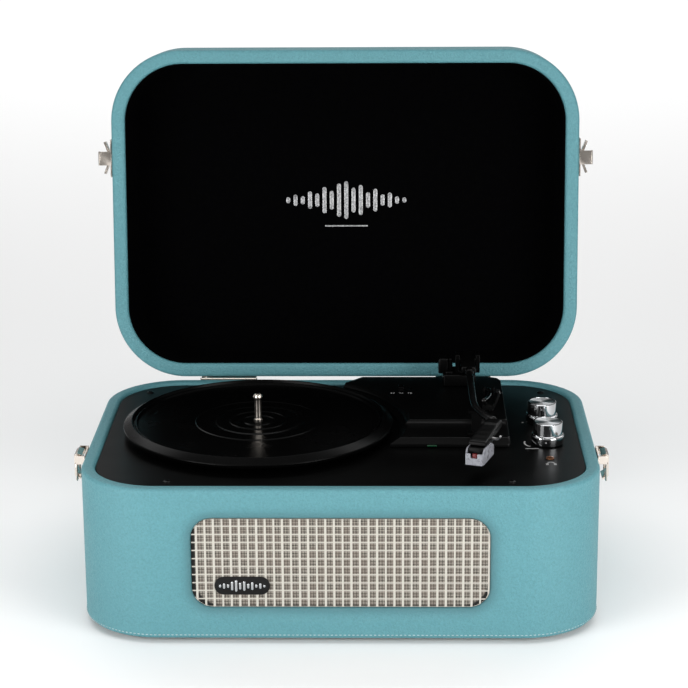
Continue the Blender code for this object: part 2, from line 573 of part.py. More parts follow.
def make_tonearm():
    x, y = ARM_PIVOT
    z = ARM_AXIS_HEIGHT
    turret_pivot = pivot("turret_pivot", (x, y, z), case_frame)
    lift_pivot = pivot("lift_pivot", (x, y, z), turret_pivot)
    turret = rod("tonearm_turret", 9.2, 1.9, (x, y, 125.95), "black_plastic", turret_pivot, sides=24)
    for side in (-1.0, 1.0):
        join(turret, box(f"yoke_cheek_{side:+.0f}", (3.0, 12.0, 14.0), (x + side * 7.7, y, 132.0), None, turret_pivot))
    join(turret, rod("yoke_pin", 1.2, 16.0, (x, y, z), None, turret_pivot, (0.0, 90.0, 0.0), 12))

    block = box("arm_block", (10.6, 40.0, 8.0), (x, y - 5.0, z + 0.8), "black_plastic", lift_pivot)
    bevel(block, 1.2, 2)
    cut(block, rod("pin_hole", 1.6, 30.0, (x, y, z), None, lift_pivot, (0.0, 90.0, 0.0), 12))

    bend = [(95.6, -14.5, TUBE_HEIGHT), (98.4, -34.0, TUBE_HEIGHT), (102.6, -45.0, TUBE_HEIGHT),
            (106.2, -52.8, TUBE_HEIGHT)]
    path = [(94.1, y - 25.0 - GAP, TUBE_HEIGHT), (94.9, 30.0, TUBE_HEIGHT), *smooth_path(bend, 3)]
    wire("arm_tube", path, TUBE_RADIUS, "gloss_black", lift_pivot, (x, y, z))

    # The head is drawn pointing along -Y from the headshell's front edge, and turned with its empty.
    head = pivot("head_frame", (*HEAD_FRONT, TUBE_HEIGHT), lift_pivot, (0.0, 0.0, -HEAD_ANGLE))
    fx, fy = HEAD_FRONT

    def at(side, back, height):
        return (fx + side, fy + back, height)

    side_view = [(0.0, 129.2), (0.0, 132.6), (31.0, 135.6), (43.0, 135.6), (44.6, 134.4), (44.6, 130.6), (41.0, 129.2)]
    shell = plate("headshell", [[(back, z - TUBE_HEIGHT) for back, z in side_view]], 12.6,
                  at(0, 0, TUBE_HEIGHT), "black_plastic", head, (90.0, 0.0, 90.0))
    finger = wire("finger_lift_shape", [(fx + 5.0, fy + 14.0, 131.0), (fx + 9.0, fy + 13.0, 131.4),
                                        (fx + 13.0, fy + 11.0, 133.6)], 1.1, None, head, at(0, 0, TUBE_HEIGHT))
    join(shell, finger)

    box("cartridge", (10.4, 24.5, 7.6), at(0, 8.15, 125.1), "black_plastic", head)
    stylus = box("stylus", (6.0, 17.0, 1.5), at(0, 3.4, 120.25), "red_plastic", head)
    join(stylus, box("stylus_nose", (3.4, 2.0, 6.2), at(0, -5.4, 122.6), None, head))

    guard = box("stylus_guard", (13.0, 27.0, 10.9), at(0, 5.2, 123.45), "clear_white", head)
    cut(guard, box("guard_inside", (11.0, 40.0, 14.0), at(0, 13.2, 126.2), None, head),
        box("guard_front", (14.0, 4.0, 10.0), at(0, -8.3, 129.6), None, head),
        box("guard_notch", (4.4, 6.0, 8.0), at(0, -8.4, 126.6), None, head))


# ---- lid --------------------------------------------------------------------------------

def make_lid():
    cavity = (CASE_WIDTH - 2 * LID_WALL, CASE_DEPTH - 2 * LID_WALL, CORNER_RADIUS - LID_WALL)
    middle = LID_BOTTOM + LID_DEPTH / 2
    shell = plate("lid_shell", [rounded_rectangle(CASE_WIDTH, CASE_DEPTH, CORNER_RADIUS, steps=10)],
                  LID_DEPTH, (0.0, 0.0, middle), "leatherette", lid_pivot)
    mesh = shell.data
    shape = bmesh.new()
    shape.from_mesh(mesh)
    top_edges = [e for e in shape.edges
                 if all(v.co.z > 0.4 * LID_DEPTH * MM for v in e.verts) and len(e.link_faces) == 2
                 and e.calc_face_angle() > 1.0]
    bmesh.ops.bevel(shape, geom=top_edges, offset=LID_TOP_ROUNDING * MM, segments=3, profile=0.5, affect="EDGES")
    rim_edges = [e for e in shape.edges
                 if all(v.co.z < -0.4 * LID_DEPTH * MM for v in e.verts) and len(e.link_faces) == 2
                 and e.calc_face_angle() > 1.0]
    bmesh.ops.bevel(shape, geom=rim_edges, offset=EDGE_ROUNDING * MM, segments=2, profile=0.5, affect="EDGES")
    shape.to_mesh(mesh)
    shape.free()
    hollow = LID_DEPTH - LID_TOP
    cut(shell, plate("lid_hollow", [rounded_rectangle(*cavity, steps=10)], hollow + 10.0,
                     (0.0, 0.0, LID_BOTTOM + hollow - (hollow + 10.0) / 2), parent=lid_pivot))

    inset = 2 * GAP
    skin = 1.2
    outer = (cavity[0] - inset, cavity[1] - inset, cavity[2] - GAP)
    depth = hollow - GAP - 1.5
    lining = plate("lid_lining", [rounded_rectangle(*outer, steps=10)], depth,
                   (0.0, 0.0, LID_BOTTOM + hollow - GAP - depth / 2), "black_felt", lid_pivot)
    cut(lining, plate("lining_hollow", [rounded_rectangle(outer[0] - 2 * skin, outer[1] - 2 * skin,
                                                          outer[2] - skin, steps=10)], depth + 10.0,
                      (0.0, 0.0, LID_BOTTOM + hollow - GAP - skin - (depth + 10.0) / 2), parent=lid_pivot))


def knuckle(name, x, width, parent, direction):
    """One barrel of a hinge with the web that joins it to its leaf above (+1) or below (-1)."""
    leaf_y = CASE_DEPTH / 2 + GAP + LEAF_THICKNESS / 2
    barrel = rod(name, 1.6, width, (x, HINGE_Y, HINGE_Z), None, parent, (0.0, 90.0, 0.0), 16)
    web = box(name + "_web", (width, LEAF_THICKNESS, 2.4), (x, leaf_y, HINGE_Z + direction * 1.9), None, parent)
    return barrel, web


def make_hinges():
    leaf_y = CASE_DEPTH / 2 + GAP + LEAF_THICKNESS / 2
    pitch = HINGE_WIDTH / 5
    for side, x in (("left", -HINGE_X), ("right", HINGE_X)):
        for piece, parent, direction, spots in ((f"hinge_base_leaf_{side}", case_frame, -1, (-2, 0, 2)),
                                                (f"hinge_lid_leaf_{side}", lid_pivot, 1, (-1, 1))):
            centre_z = HINGE_Z + direction * (2.05 + LEAF_HEIGHT / 2)
            leaf = box(piece, (HINGE_WIDTH, LEAF_THICKNESS, LEAF_HEIGHT), (x, leaf_y, centre_z), "nickel", parent)
            for spot in spots:
                barrel, web = knuckle(f"{piece}_{spot}", x + spot * pitch, pitch - 0.4, parent, direction)
                join(leaf, barrel, web)
            cut(leaf, rod(piece + "_bore", 1.0, HINGE_WIDTH + 4.0, (x, HINGE_Y, HINGE_Z), None, parent,
                          (0.0, 90.0, 0.0), 12))
            if direction < 0:      # the lug that the opened lid's leaf comes to rest on
                lug = [(-1.1, -2.4), (0.6, -2.0), (2.6, -0.55), (9.2, -1.2), (9.2, -2.2), (3.0, -4.6), (-1.1, -4.6)]
                join(leaf, plate(piece + "_lug", [list(reversed(lug))], pitch - 0.6, (x, HINGE_Y, HINGE_Z),
                                 turn=(90.0, 0.0, 90.0)))
        turned(f"hinge_pin_{side}", [(0, 22.4), (1.4, 22.2), (1.4, 21.8), (0.75, 21.8), (0.75, -21.8), (1.4, -21.8),
                                     (1.4, -22.2), (0, -22.4)], (x, HINGE_Y, HINGE_Z), "nickel",
               turn=(0.0, 90.0, 0.0), steps=12)


# ---- latches ----------------------------------------------------------------------------

def make_latches():
    upright = (90.0, 0.0, 0.0)
    for side, s in (("left", 1.0), ("right", -1.0)):
        wall = -CASE_WIDTH / 2 - GAP

        def across(outline):
            """An outline of (X, Z) drawn for the left side, mirrored for the right."""
            points = [(s * x, z) for x, z in outline]
            return points if s > 0 else list(reversed(points))

        # the keeper on the lid: a broad plate, a hook that holds the bail, and two wings
        keeper = box(f"latch_keeper_{side}", (1.0, 28.8, 20.0), (s * (wall - 0.5), LATCH_Y, 121.0), "nickel", lid_pivot)
        hook = [(wall - 0.4, 110.8), (-189.6, 110.8), (-190.6, 111.8), (-190.6, 115.0), (-189.4, 115.0),
                (-189.0, 112.4), (wall - 3.4, 112.4), (wall - 3.4, 124.0), (wall - 0.4, 124.0)]
        join(keeper, plate(f"keeper_hook_{side}", [across(hook)], 10.6, (0.0, LATCH_Y, 0.0), None, lid_pivot, upright))
        for wing in (-1.0, 1.0):
            join(keeper, box(f"keeper_wing_{side}_{wing:+.0f}", (1.9, 8.0, 6.0),
                             (s * (wall - 4.6), LATCH_Y + wing * 8.6, 120.5), None, lid_pivot,
                             (0.0, 0.0, s * wing * 21.0)))

        # the plate on the case, with two ears and the lever's pin
        base = box(f"latch_plate_{side}", (0.8, 24.0, 16.0), (s * (wall - 0.4), LATCH_Y, 98.0), "nickel")
        for ear in (-1.0, 1.0):
            join(base, box(f"latch_ear_{side}_{ear:+.0f}", (6.4, 1.0, 6.0),
                           (s * (wall - 3.4), LATCH_Y + ear * 11.2, 104.6)))
        join(base, rod(f"lever_pin_{side}", 0.9, 22.4, (s * LEVER_PIN[0], LATCH_Y, LEVER_PIN[1]), turn=upright,
                       sides=12))

        lever_at = (s * LEVER_PIN[0], LATCH_Y, LEVER_PIN[1])
        lever_pivot = pivot(f"lever_pivot_{side}", lever_at, case_frame)
        profile = [(-182.9, 107.0), (-186.6, 108.0), (-188.4, 106.8), (-188.4, 92.0), (-187.2, 89.7), (-184.4, 88.8),
                   (-183.9, 90.0), (-186.2, 91.0), (-187.0, 92.6), (-187.0, 99.2), (-185.4, 99.2), (-185.4, 102.6),
                   (-182.9, 103.0)]
        moved = [(x - LEVER_PIN[0], z - LEVER_PIN[1]) for x, z in profile]
        lever = plate(f"latch_lever_{side}", [across(moved)], 15.0, lever_at, "nickel", lever_pivot, upright)
        bail_at = (s * BAIL_PIN[0], LATCH_Y, BAIL_PIN[1])
        cut(lever, rod(f"lever_hole_{side}", 1.25, 30.0, lever_at, None, lever_pivot, upright, 12),
            rod(f"bail_hole_{side}", 0.95, 30.0, bail_at, None, lever_pivot, upright, 12))

        # the wire bail, hanging from the lever
        bail_pivot = pivot(f"bail_pivot_{side}", bail_at, lever_pivot)
        x, z = BAIL_PIN
        half = 9.0
        route = [(s * x, LATCH_Y + y, z + h) for y, h in
                 [(4.0, 0.0), (half, 0.0), (half, -11.5), (half - 1.0, -12.4), (1.0 - half, -12.4), (-half, -11.5),
                  (-half, 0.0), (-4.0, 0.0)]]
        wire(f"latch_bail_{side}", route, 0.65, "nickel", bail_pivot, bail_at)


make_case()
make_front()
make_sockets()
make_deck()
make_drive()
make_controls()
make_arm_stand()
make_tonearm()
make_lid()
make_hinges()
make_latches()
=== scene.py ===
import json
import math

import bmesh
import bpy
import numpy as np
from mathutils import Matrix, Vector


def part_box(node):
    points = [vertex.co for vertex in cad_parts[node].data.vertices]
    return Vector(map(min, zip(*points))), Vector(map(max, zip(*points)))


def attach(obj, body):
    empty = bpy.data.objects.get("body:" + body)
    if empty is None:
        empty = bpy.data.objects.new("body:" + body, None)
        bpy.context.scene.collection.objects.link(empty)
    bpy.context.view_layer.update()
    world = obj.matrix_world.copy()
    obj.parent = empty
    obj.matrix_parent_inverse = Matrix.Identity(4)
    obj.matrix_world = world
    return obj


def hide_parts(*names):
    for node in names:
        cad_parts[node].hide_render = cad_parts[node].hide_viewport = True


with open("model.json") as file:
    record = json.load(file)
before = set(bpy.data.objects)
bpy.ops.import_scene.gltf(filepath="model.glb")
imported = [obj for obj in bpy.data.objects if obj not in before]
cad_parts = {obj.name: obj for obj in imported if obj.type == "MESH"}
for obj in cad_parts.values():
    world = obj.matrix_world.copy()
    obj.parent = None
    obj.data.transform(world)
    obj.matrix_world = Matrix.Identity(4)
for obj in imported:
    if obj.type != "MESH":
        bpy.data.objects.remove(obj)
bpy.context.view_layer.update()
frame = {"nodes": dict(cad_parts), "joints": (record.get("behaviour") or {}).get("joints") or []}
mm = 0.001
pi = math.pi

# Places are in millimetres from the middle of the case's underside: X right, Y back, Z up.
caseLow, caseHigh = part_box("case_shell")
caseOrigin = np.array([(caseLow.x + caseHigh.x) / 2, (caseLow.y + caseHigh.y) / 2, caseLow.z])
caseSize = (np.array(caseHigh) - np.array(caseLow)) / mm
joints = {joint["name"]: joint for joint in frame["joints"]}


def toFrame(points):
    # Case millimetres to metres in the frame.
    return np.asarray(points, float) * mm + caseOrigin


def nodeBox(node):
    # Lowest and highest corner of a CAD node in case millimetres.
    low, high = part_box(node)
    return (np.array(low) - caseOrigin) / mm, (np.array(high) - caseOrigin) / mm


def middle(node):
    low, high = nodeBox(node)
    return (low + high) / 2


def jointPlace(name):
    return (np.array(joints[name]["pos_m"]) - caseOrigin) / mm


hingeAt = jointPlace("lid_hinge")
openAngle = math.radians(joints["lid_hinge"]["range_deg"][0])


def openLid(points):
    # Points drawn for a shut lid, turned about the hinge line: the usual rotation about X.
    points = np.asarray(points, float)
    y, z = points[..., 1] - hingeAt[1], points[..., 2] - hingeAt[2]
    turned = points.copy()
    turned[..., 1] = hingeAt[1] + y * math.cos(openAngle) - z * math.sin(openAngle)
    turned[..., 2] = hingeAt[2] + y * math.sin(openAngle) + z * math.cos(openAngle)
    return turned


def gridFaces(rows, columns, wrapRows=False, wrapColumns=False, start=0):
    # Quads of a grid of points numbered row by row; a wrapped way joins its last line to its first.
    i = np.arange(rows if wrapRows else rows - 1)[:, None]
    j = np.arange(columns if wrapColumns else columns - 1)[None, :]
    nextI, nextJ = (i + 1) % rows, (j + 1) % columns
    corners = (i * columns + j, i * columns + nextJ, nextI * columns + nextJ, nextI * columns + j)
    return np.stack(np.broadcast_arrays(*corners), -1).reshape(-1, 4) + start


def clean(mesh, merge):
    # Merges points closer than a length in metres and turns every face outwards.
    shape = bmesh.new()
    shape.from_mesh(mesh)
    bmesh.ops.remove_doubles(shape, verts=shape.verts, dist=merge)
    bmesh.ops.recalc_face_normals(shape, faces=shape.faces)
    shape.to_mesh(mesh)
    shape.free()


def makePiece(name, points, faces, finish, body, replaces=(), slot=None, caps=(), uv=None, smooth=40.0,
              merge=0.00002, lid=False):
    # A mesh of points in case millimetres and faces of point numbers, its doubles merged, facing outwards.
    points = np.asarray(points, float).reshape(-1, 3)
    if lid:
        points = openLid(points)
    mesh = bpy.data.meshes.new(name)
    mesh.from_pydata(toFrame(points).tolist(), [], np.asarray(faces).tolist() + [list(cap) for cap in caps])
    if uv is not None:
        layer = mesh.uv_layers.new(name="UVMap")
        index = np.zeros(len(mesh.loops), int)
        mesh.loops.foreach_get("vertex_index", index)
        layer.data.foreach_set("uv", np.asarray(uv, np.float32).reshape(-1, 2)[index].ravel())
    clean(mesh, merge)
    return finishPiece(bpy.data.objects.new(name, mesh), finish, body, replaces, smooth)


def finishPiece(piece, finish, body, replaces=(), smooth=40.0):
    bpy.context.scene.collection.objects.link(piece)
    piece.data.materials.clear()
    piece.data.materials.append(finish)
    piece.data.shade_smooth()
    piece.data.set_sharp_from_angle(angle=math.radians(smooth))
    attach(piece, body)
    if replaces:
        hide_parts(*([replaces] if isinstance(replaces, str) else replaces))
    return piece


def roundedCorners(points, radius, steps=5, closed=False):
    # A polyline with each corner replaced by an arc that is tangent to both its sides.
    points = np.asarray(points, float)
    count = len(points)
    radii = np.broadcast_to(radius, (count,))
    out = []
    for i in range(count):
        if not closed and i in (0, count - 1) or radii[i] <= 0:
            out.append(points[i][None])
            continue
        before, here, after = points[i - 1], points[i], points[(i + 1) % count]
        a, b = before - here, after - here
        lengthA, lengthB = np.linalg.norm(a), np.linalg.norm(b)
        a, b = a / lengthA, b / lengthB
        half = math.acos(np.clip(a @ b, -1, 1)) / 2
        if half > 1.55:
            out.append(here[None])
            continue
        reach = min(radii[i] / math.tan(half), 0.49 * lengthA, 0.49 * lengthB)
        arc = reach * math.tan(half)
        bisector = (a + b) / np.linalg.norm(a + b)
        centre = here + bisector * arc / math.sin(half)
        start, end = here + a * reach - centre, here + b * reach - centre
        swing = math.acos(np.clip(start @ end / arc ** 2, -1, 1))
        t = np.linspace(0, 1, steps + 1)[:, None]
        out.append(centre + (np.sin((1 - t) * swing) * start + np.sin(t * swing) * end) / math.sin(swing))
    return np.concatenate(out)


def turnedGrid(profile, centre, angle):
    # A profile of (radius, height) at every angle round a vertical line: (x + r cos a, y + r sin a, h).
    r, h = profile[:, :1], profile[:, 1:]
    x, y = centre[0] + r * np.cos(angle), centre[1] + r * np.sin(angle)
    return np.stack([x, y, np.broadcast_to(centre[2] + h, x.shape)], -1)


def lathe(name, profile, centre, finish, body, steps, radius, ring=False, **more):
    # A turned piece; points on the line itself merge into one, and a ring's profile closes on itself.
    profile = roundedCorners(profile, radius)
    points = turnedGrid(profile, centre, np.linspace(0, 2 * pi, steps, endpoint=False))
    faces = gridFaces(len(profile), steps, wrapRows=ring, wrapColumns=True)
    return makePiece(name, points, faces, finish, body, **more)


def tubeGrid(path, radius, sides):
    # Rings round a path: centre + r (cos a side + sin a over), where side is level and at right angles to
    # the path. The end rings shrink to a point over a quarter circle, so the ends are round.
    path = np.asarray(path, float)
    radii = np.broadcast_to(radius, (len(path),)).astype(float)
    along = np.gradient(path, axis=0)
    along /= np.linalg.norm(along, axis=1)[:, None]
    side = np.cross(along, [0.0, 0.0, 1.0])
    side /= np.linalg.norm(side, axis=1)[:, None]
    over = np.cross(side, along)
    lean = np.linspace(0, pi / 2, 5)[::-1]
    first = path[0] - along[0] * radii[0] * 0.6 * np.sin(lean)[:, None]
    last = path[-1] + along[-1] * radii[-1] * 0.6 * np.sin(lean[::-1])[:, None]
    path = np.concatenate([first, path[1:-1], last])
    radii = np.concatenate([radii[0] * np.cos(lean), radii[1:-1], radii[-1] * np.cos(lean[::-1])])
    side = np.concatenate([np.repeat(side[:1], 5, 0), side[1:-1], np.repeat(side[-1:], 5, 0)])
    over = np.concatenate([np.repeat(over[:1], 5, 0), over[1:-1], np.repeat(over[-1:], 5, 0)])
    angle = np.linspace(0, 2 * pi, sides, endpoint=False)[None, :, None]
    around = np.cos(angle) * side[:, None] + np.sin(angle) * over[:, None]
    return path[:, None] + radii[:, None, None] * around


def tube(name, path, radius, finish, body, sides, **more):
    points = tubeGrid(path, radius, sides)
    return makePiece(name, points, gridFaces(points.shape[0], sides, wrapColumns=True), finish, body, **more)


def domeGrid(place, outward, radius, rise, levels, sides):
    # Rings of a flattened sphere facing a level way: radius * cos across, rise * sin outwards.
    lean = np.linspace(0, pi / 2, levels)[:, None, None]
    angle = np.linspace(0, 2 * pi, sides, endpoint=False)[None, :, None]
    side = np.cross(outward, [0.0, 0.0, 1.0])
    over = np.cross(side, outward)
    around = np.cos(angle) * side + np.sin(angle) * over
    return place + radius * np.cos(lean) * around + rise * np.sin(lean) * outward


def curveThrough(points, steps):
    # A Catmull-Rom curve: each span is the cubic whose end slopes are half the step across its neighbours.
    points = np.asarray(points, float)
    padded = np.concatenate([2 * points[:1] - points[1:2], points, 2 * points[-1:] - points[-2:-1]])
    p0, p1, p2, p3 = padded[:-3, None], padded[1:-2, None], padded[2:-1, None], padded[3:, None]
    t = np.linspace(0, 1, steps, endpoint=False)[None, :, None]
    spans = 0.5 * (2 * p1 + (p2 - p0) * t + (2 * p0 - 5 * p1 + 4 * p2 - p3) * t ** 2
                   + (3 * p1 - p0 - 3 * p2 + p3) * t ** 3)
    return np.concatenate([spans.reshape(-1, points.shape[1]), points[-1:]])


def roundedRectangle(width, depth, radius, side, corner):
    # Points and outward normals round a rectangle with round corners, from the middle of its front.
    halfX, halfY = width / 2 - radius, depth / 2 - radius
    t = np.linspace(0, 1, side, endpoint=False)
    turn = np.linspace(0, pi / 2, corner, endpoint=False)
    points, normals = [], []
    for k in range(4):
        a, b = (halfX, halfY) if k % 2 == 0 else (halfY, halfX)
        spin = k * pi / 2
        straight = np.stack([-a + 2 * a * t, np.full(side, -(b + radius))], -1)
        arc = np.stack([a + radius * np.sin(turn), -b - radius * np.cos(turn)], -1)
        normal = np.concatenate([np.tile([0.0, -1.0], (side, 1)),
                                 np.stack([np.sin(turn), -np.cos(turn)], -1)])
        turning = np.array([[math.cos(spin), math.sin(spin)], [-math.sin(spin), math.cos(spin)]])
        points.append(np.concatenate([straight, arc]) @ turning)
        normals.append(normal @ turning)
    return np.concatenate(points), np.concatenate(normals)


def carried(outline, normal, inset, heights):
    # A profile of insets and heights at every point of an outline: outline - inset * normal.
    x, y = outline[:, 0] - inset * normal[:, 0], outline[:, 1] - inset * normal[:, 1]
    return np.stack([x, y, np.broadcast_to(heights, x.shape)], -1)


def lifted(rings, heights):
    # Flat rings, each at its own height.
    return np.concatenate([rings, np.broadcast_to(heights[:, None, None], (*rings.shape[:2], 1))], -1)


def endCaps(rows, columns):
    return [range(columns), range((rows - 1) * columns, rows * columns)]


def slab(name, outline, low, high, edge, finish, body, frameOf=None, **more):
    # A flat piece: its outline stacked at heights, drawn in by a quarter circle at its top and bottom edge.
    outline = np.asarray(outline, float)
    ahead, behind = np.roll(outline, -1, 0) - outline, outline - np.roll(outline, 1, 0)
    normal = np.stack([ahead[:, 1], -ahead[:, 0]], -1) / np.linalg.norm(ahead, axis=1)[:, None]
    before = np.stack([behind[:, 1], -behind[:, 0]], -1) / np.linalg.norm(behind, axis=1)[:, None]
    normal = normal + before
    normal /= np.maximum(1e-9, (normal * before).sum(1))[:, None]
    turn = np.linspace(0, pi / 2, 5)
    inset = edge * np.concatenate([1 - np.sin(turn), 1 - np.cos(turn)])
    height = np.concatenate([low + edge * (1 - np.cos(turn)), high - edge * (1 - np.sin(turn))])
    area = np.cross(outline, np.roll(outline, -1, 0)).sum()
    rings = outline[None] - math.copysign(1, area) * inset[:, None, None] * normal[None]
    points = lifted(rings, height)
    if frameOf is not None:
        points = frameOf(points)
    faces = gridFaces(*points.shape[:2], wrapColumns=True)
    return makePiece(name, points, faces, finish, body, caps=endCaps(*points.shape[:2]), **more)


def softened(node, finish, body, width, segments, angle=30.0):
    # A copy of a CAD node with its triangles merged and its edges rounded.
    mesh = frame["nodes"][node].data.copy()
    shape = bmesh.new()
    shape.from_mesh(mesh)
    bmesh.ops.remove_doubles(shape, verts=shape.verts, dist=0.00001)
    bmesh.ops.dissolve_limit(shape, angle_limit=math.radians(1.0), verts=shape.verts, edges=shape.edges)
    shape.to_mesh(mesh)
    shape.free()
    piece = bpy.data.objects.new(node + "_soft", mesh)
    finishPiece(piece, finish, body, node)
    bevel = piece.modifiers.new("Rounding", "BEVEL")
    bevel.width = width * mm
    bevel.segments = segments
    bevel.limit_method = "ANGLE"
    bevel.angle_limit = math.radians(angle)


def joined(name, parts, finish, body, **more):
    # One piece of several grids, each a pair of points and faces.
    points, faces, start = [], [], 0
    for grid, quads in parts:
        grid = np.asarray(grid, float).reshape(-1, 3)
        points.append(grid)
        faces += (np.asarray(quads) + start).tolist()
        start += len(grid)
    return makePiece(name, np.concatenate(points), faces, finish, body, merge=0.000001, **more)


def addNode(tree, kind, inputs=None, **settings):
    node = tree.nodes.new("ShaderNode" + kind)
    for key, value in settings.items():
        setattr(node, key, value)
    for socket, value in (inputs or {}).items():
        if isinstance(value, bpy.types.NodeSocket):
            tree.links.new(value, node.inputs[socket])
        else:
            node.inputs[socket].default_value = value
    return node


def newFinish(name, colour, roughness, metallic=0.0, **sockets):
    # A Principled material; returns it with its node tree and shader.
    material = bpy.data.materials.new(name)
    material.use_nodes = True
    shader = material.node_tree.nodes["Principled BSDF"]
    shader.inputs["Base Color"].default_value = (*colour, 1.0)
    shader.inputs["Roughness"].default_value = roughness
    shader.inputs["Metallic"].default_value = metallic
    for socket, value in sockets.items():
        shader.inputs[socket.replace("_", " ")].default_value = value
    return material, material.node_tree, shader


def objectPlace(tree):
    return addNode(tree, "TexCoord").outputs["Object"]


def noise(tree, place, scale, detail=2.0, rough=0.5, distortion=0.0):
    return addNode(tree, "TexNoise", {"Vector": place, "Scale": scale, "Detail": detail, "Roughness": rough,
                                      "Distortion": distortion}).outputs["Fac"]


def ranged(tree, value, fromLow, fromHigh, toLow, toHigh):
    return addNode(tree, "MapRange", {"Value": value, "From Min": fromLow, "From Max": fromHigh,
                                      "To Min": toLow, "To Max": toHigh}).outputs["Result"]


def blended(tree, factor, low, high):
    node = addNode(tree, "Mix", {0: factor, 6: low, 7: high}, data_type="RGBA")
    return node.outputs[2]


def shade(colour, amount):
    return (*[min(1.0, c * amount) for c in colour], 1.0)


def calculated(tree, operation, a, b=0.0):
    return addNode(tree, "Math", {0: a, 1: b}, operation=operation).outputs[0]


def bumped(tree, shader, height, distance, strength=1.0):
    bump = addNode(tree, "Bump", {"Height": height, "Distance": distance * mm, "Strength": strength})
    tree.links.new(bump.outputs["Normal"], shader.inputs["Normal"])


leatherValues = {"colour": (0.090, 0.262, 0.296), "pebble": 640.0, "crease": 640.0, "speckle": 900.0,
                 "tone": 9.0, "depth": 0.682, "roughness": 0.48, "creaseShade": 0.86, "speckShade": 1.17,
                 "hollowShade": 0.66}


def leatherFinish(name):
    # Pebbled leatherette: cells of a Voronoi pattern pushed about by noise, finer grain over them, and a
    # slow change of tone; the creases between pebbles are a little rougher and painted darker as shade, and
    # painted shade darkens the colour round the grille opening.
    values = leatherValues
    colour = values["colour"]
    material, tree, shader = newFinish(name, colour, values["roughness"], Specular_IOR_Level=0.42)
    place = objectPlace(tree)
    pushed = addNode(tree, "TexNoise", {"Vector": place, "Scale": 160.0, "Detail": 2.0}).outputs["Color"]
    shifted = addNode(tree, "MixRGB", {0: 0.006, 1: place, 2: pushed}, blend_type="ADD").outputs[0]
    pebbles = addNode(tree, "TexVoronoi", {"Vector": shifted, "Scale": values["pebble"]},
                      feature="SMOOTH_F1")
    creases = noise(tree, place, values["crease"], 5.0, 0.62, 0.6)
    tone = noise(tree, place, values["tone"], 3.0)
    speckle = noise(tree, place, values["speckle"], 2.0)
    height = calculated(tree, "MULTIPLY_ADD", pebbles.outputs["Distance"], -0.55)
    height.node.inputs[2].default_value = 0.5
    height = calculated(tree, "ADD", height, calculated(tree, "MULTIPLY", creases, 1.1))
    toned = blended(tree, ranged(tree, tone, 0.3, 0.7, 0.0, 1.0), shade(colour, 0.98), shade(colour, 1.02))
    # painted shade: the colour darkens where the crease noise is low, in the creases between pebbles
    creaseShaded = blended(tree, ranged(tree, creases, 0.36, 0.62, 0.0, 1.0),
                      shade(colour, values["creaseShade"]), toned)
    spotted = blended(tree, ranged(tree, speckle, 0.35, 0.75, 0.0, 0.4), creaseShaded,
                      shade(colour, values["speckShade"]))
    # painted shade: the colour darkens within a few millimetres of the grille opening
    openingShade = addNode(tree, "Attribute", attribute_name="openingShade").outputs["Fac"]
    openingShaded = blended(tree, openingShade, spotted, shade(colour, values["hollowShade"]))
    tree.links.new(openingShaded, shader.inputs["Base Color"])
    rough = ranged(tree, creases, 0.35, 0.65, values["roughness"] + 0.12, values["roughness"] - 0.04)
    tree.links.new(rough, shader.inputs["Roughness"])
    bumped(tree, shader, height, values["depth"], 0.75)
    return material


def plasticFinish(name, colour, roughness, grain, depth, specular=0.5, wear=0.06):
    # Moulded plastic: a fine even grain, faint cloudy changes in gloss, and a little dust in the colour.
    material, tree, shader = newFinish(name, colour, roughness, Specular_IOR_Level=specular)
    place = objectPlace(tree)
    fine = noise(tree, place, grain, 3.0, 0.6)
    cloud = noise(tree, place, 35.0, 4.0, 0.55)
    dust = noise(tree, place, 420.0, 5.0, 0.7)
    tree.links.new(ranged(tree, cloud, 0.3, 0.7, roughness - wear, roughness + wear),
                   shader.inputs["Roughness"])
    tinted = blended(tree, ranged(tree, dust, 0.62, 0.8, 0.0, 0.5), (*colour, 1.0),
                     tuple(c + 0.003 for c in colour) + (1.0,))
    tree.links.new(tinted, shader.inputs["Base Color"])
    bumped(tree, shader, fine, depth)
    return material


def metalFinish(name, colour, roughness, scratch=0.012):
    # Metal with hairline scratches stretched one way and patches of dulling.
    material, tree, shader = newFinish(name, colour, roughness, 1.0)
    place = objectPlace(tree)
    stretched = addNode(tree, "Mapping", {"Vector": place, "Scale": (60.0, 900.0, 900.0)}).outputs["Vector"]
    lines = noise(tree, stretched, 1.0, 3.0, 0.6)
    dull = noise(tree, place, 140.0, 4.0, 0.6)
    tree.links.new(ranged(tree, dull, 0.35, 0.75, max(0.02, roughness - 0.04), roughness + 0.12),
                   shader.inputs["Roughness"])
    tree.links.new(blended(tree, dull, shade(colour, 0.93), shade(colour, 1.03)),
                   shader.inputs["Base Color"])
    bumped(tree, shader, lines, scratch)
    return material


def spunFinish(name, colour):
    # Spun metal: the reflection is stretched across rings that follow the piece's own UV, u round the knob.
    material, tree, shader = newFinish(name, colour, 0.36, 1.0, Anisotropic=1.0, Anisotropic_Rotation=0.25)
    tangent = addNode(tree, "Tangent", direction_type="UV_MAP", uv_map="UVMap")
    tree.links.new(tangent.outputs[0], shader.inputs["Tangent"])
    around = addNode(tree, "UVMap", uv_map="UVMap").outputs[0]
    rings = addNode(tree, "Mapping", {"Vector": around, "Scale": (2.0, 90.0, 1.0)}).outputs["Vector"]
    bumped(tree, shader, noise(tree, rings, 1.0, 2.0), 0.006)
    tree.links.new(ranged(tree, noise(tree, rings, 1.0, 2.0), 0.3, 0.7, 0.32, 0.4),
                   shader.inputs["Roughness"])
    return material


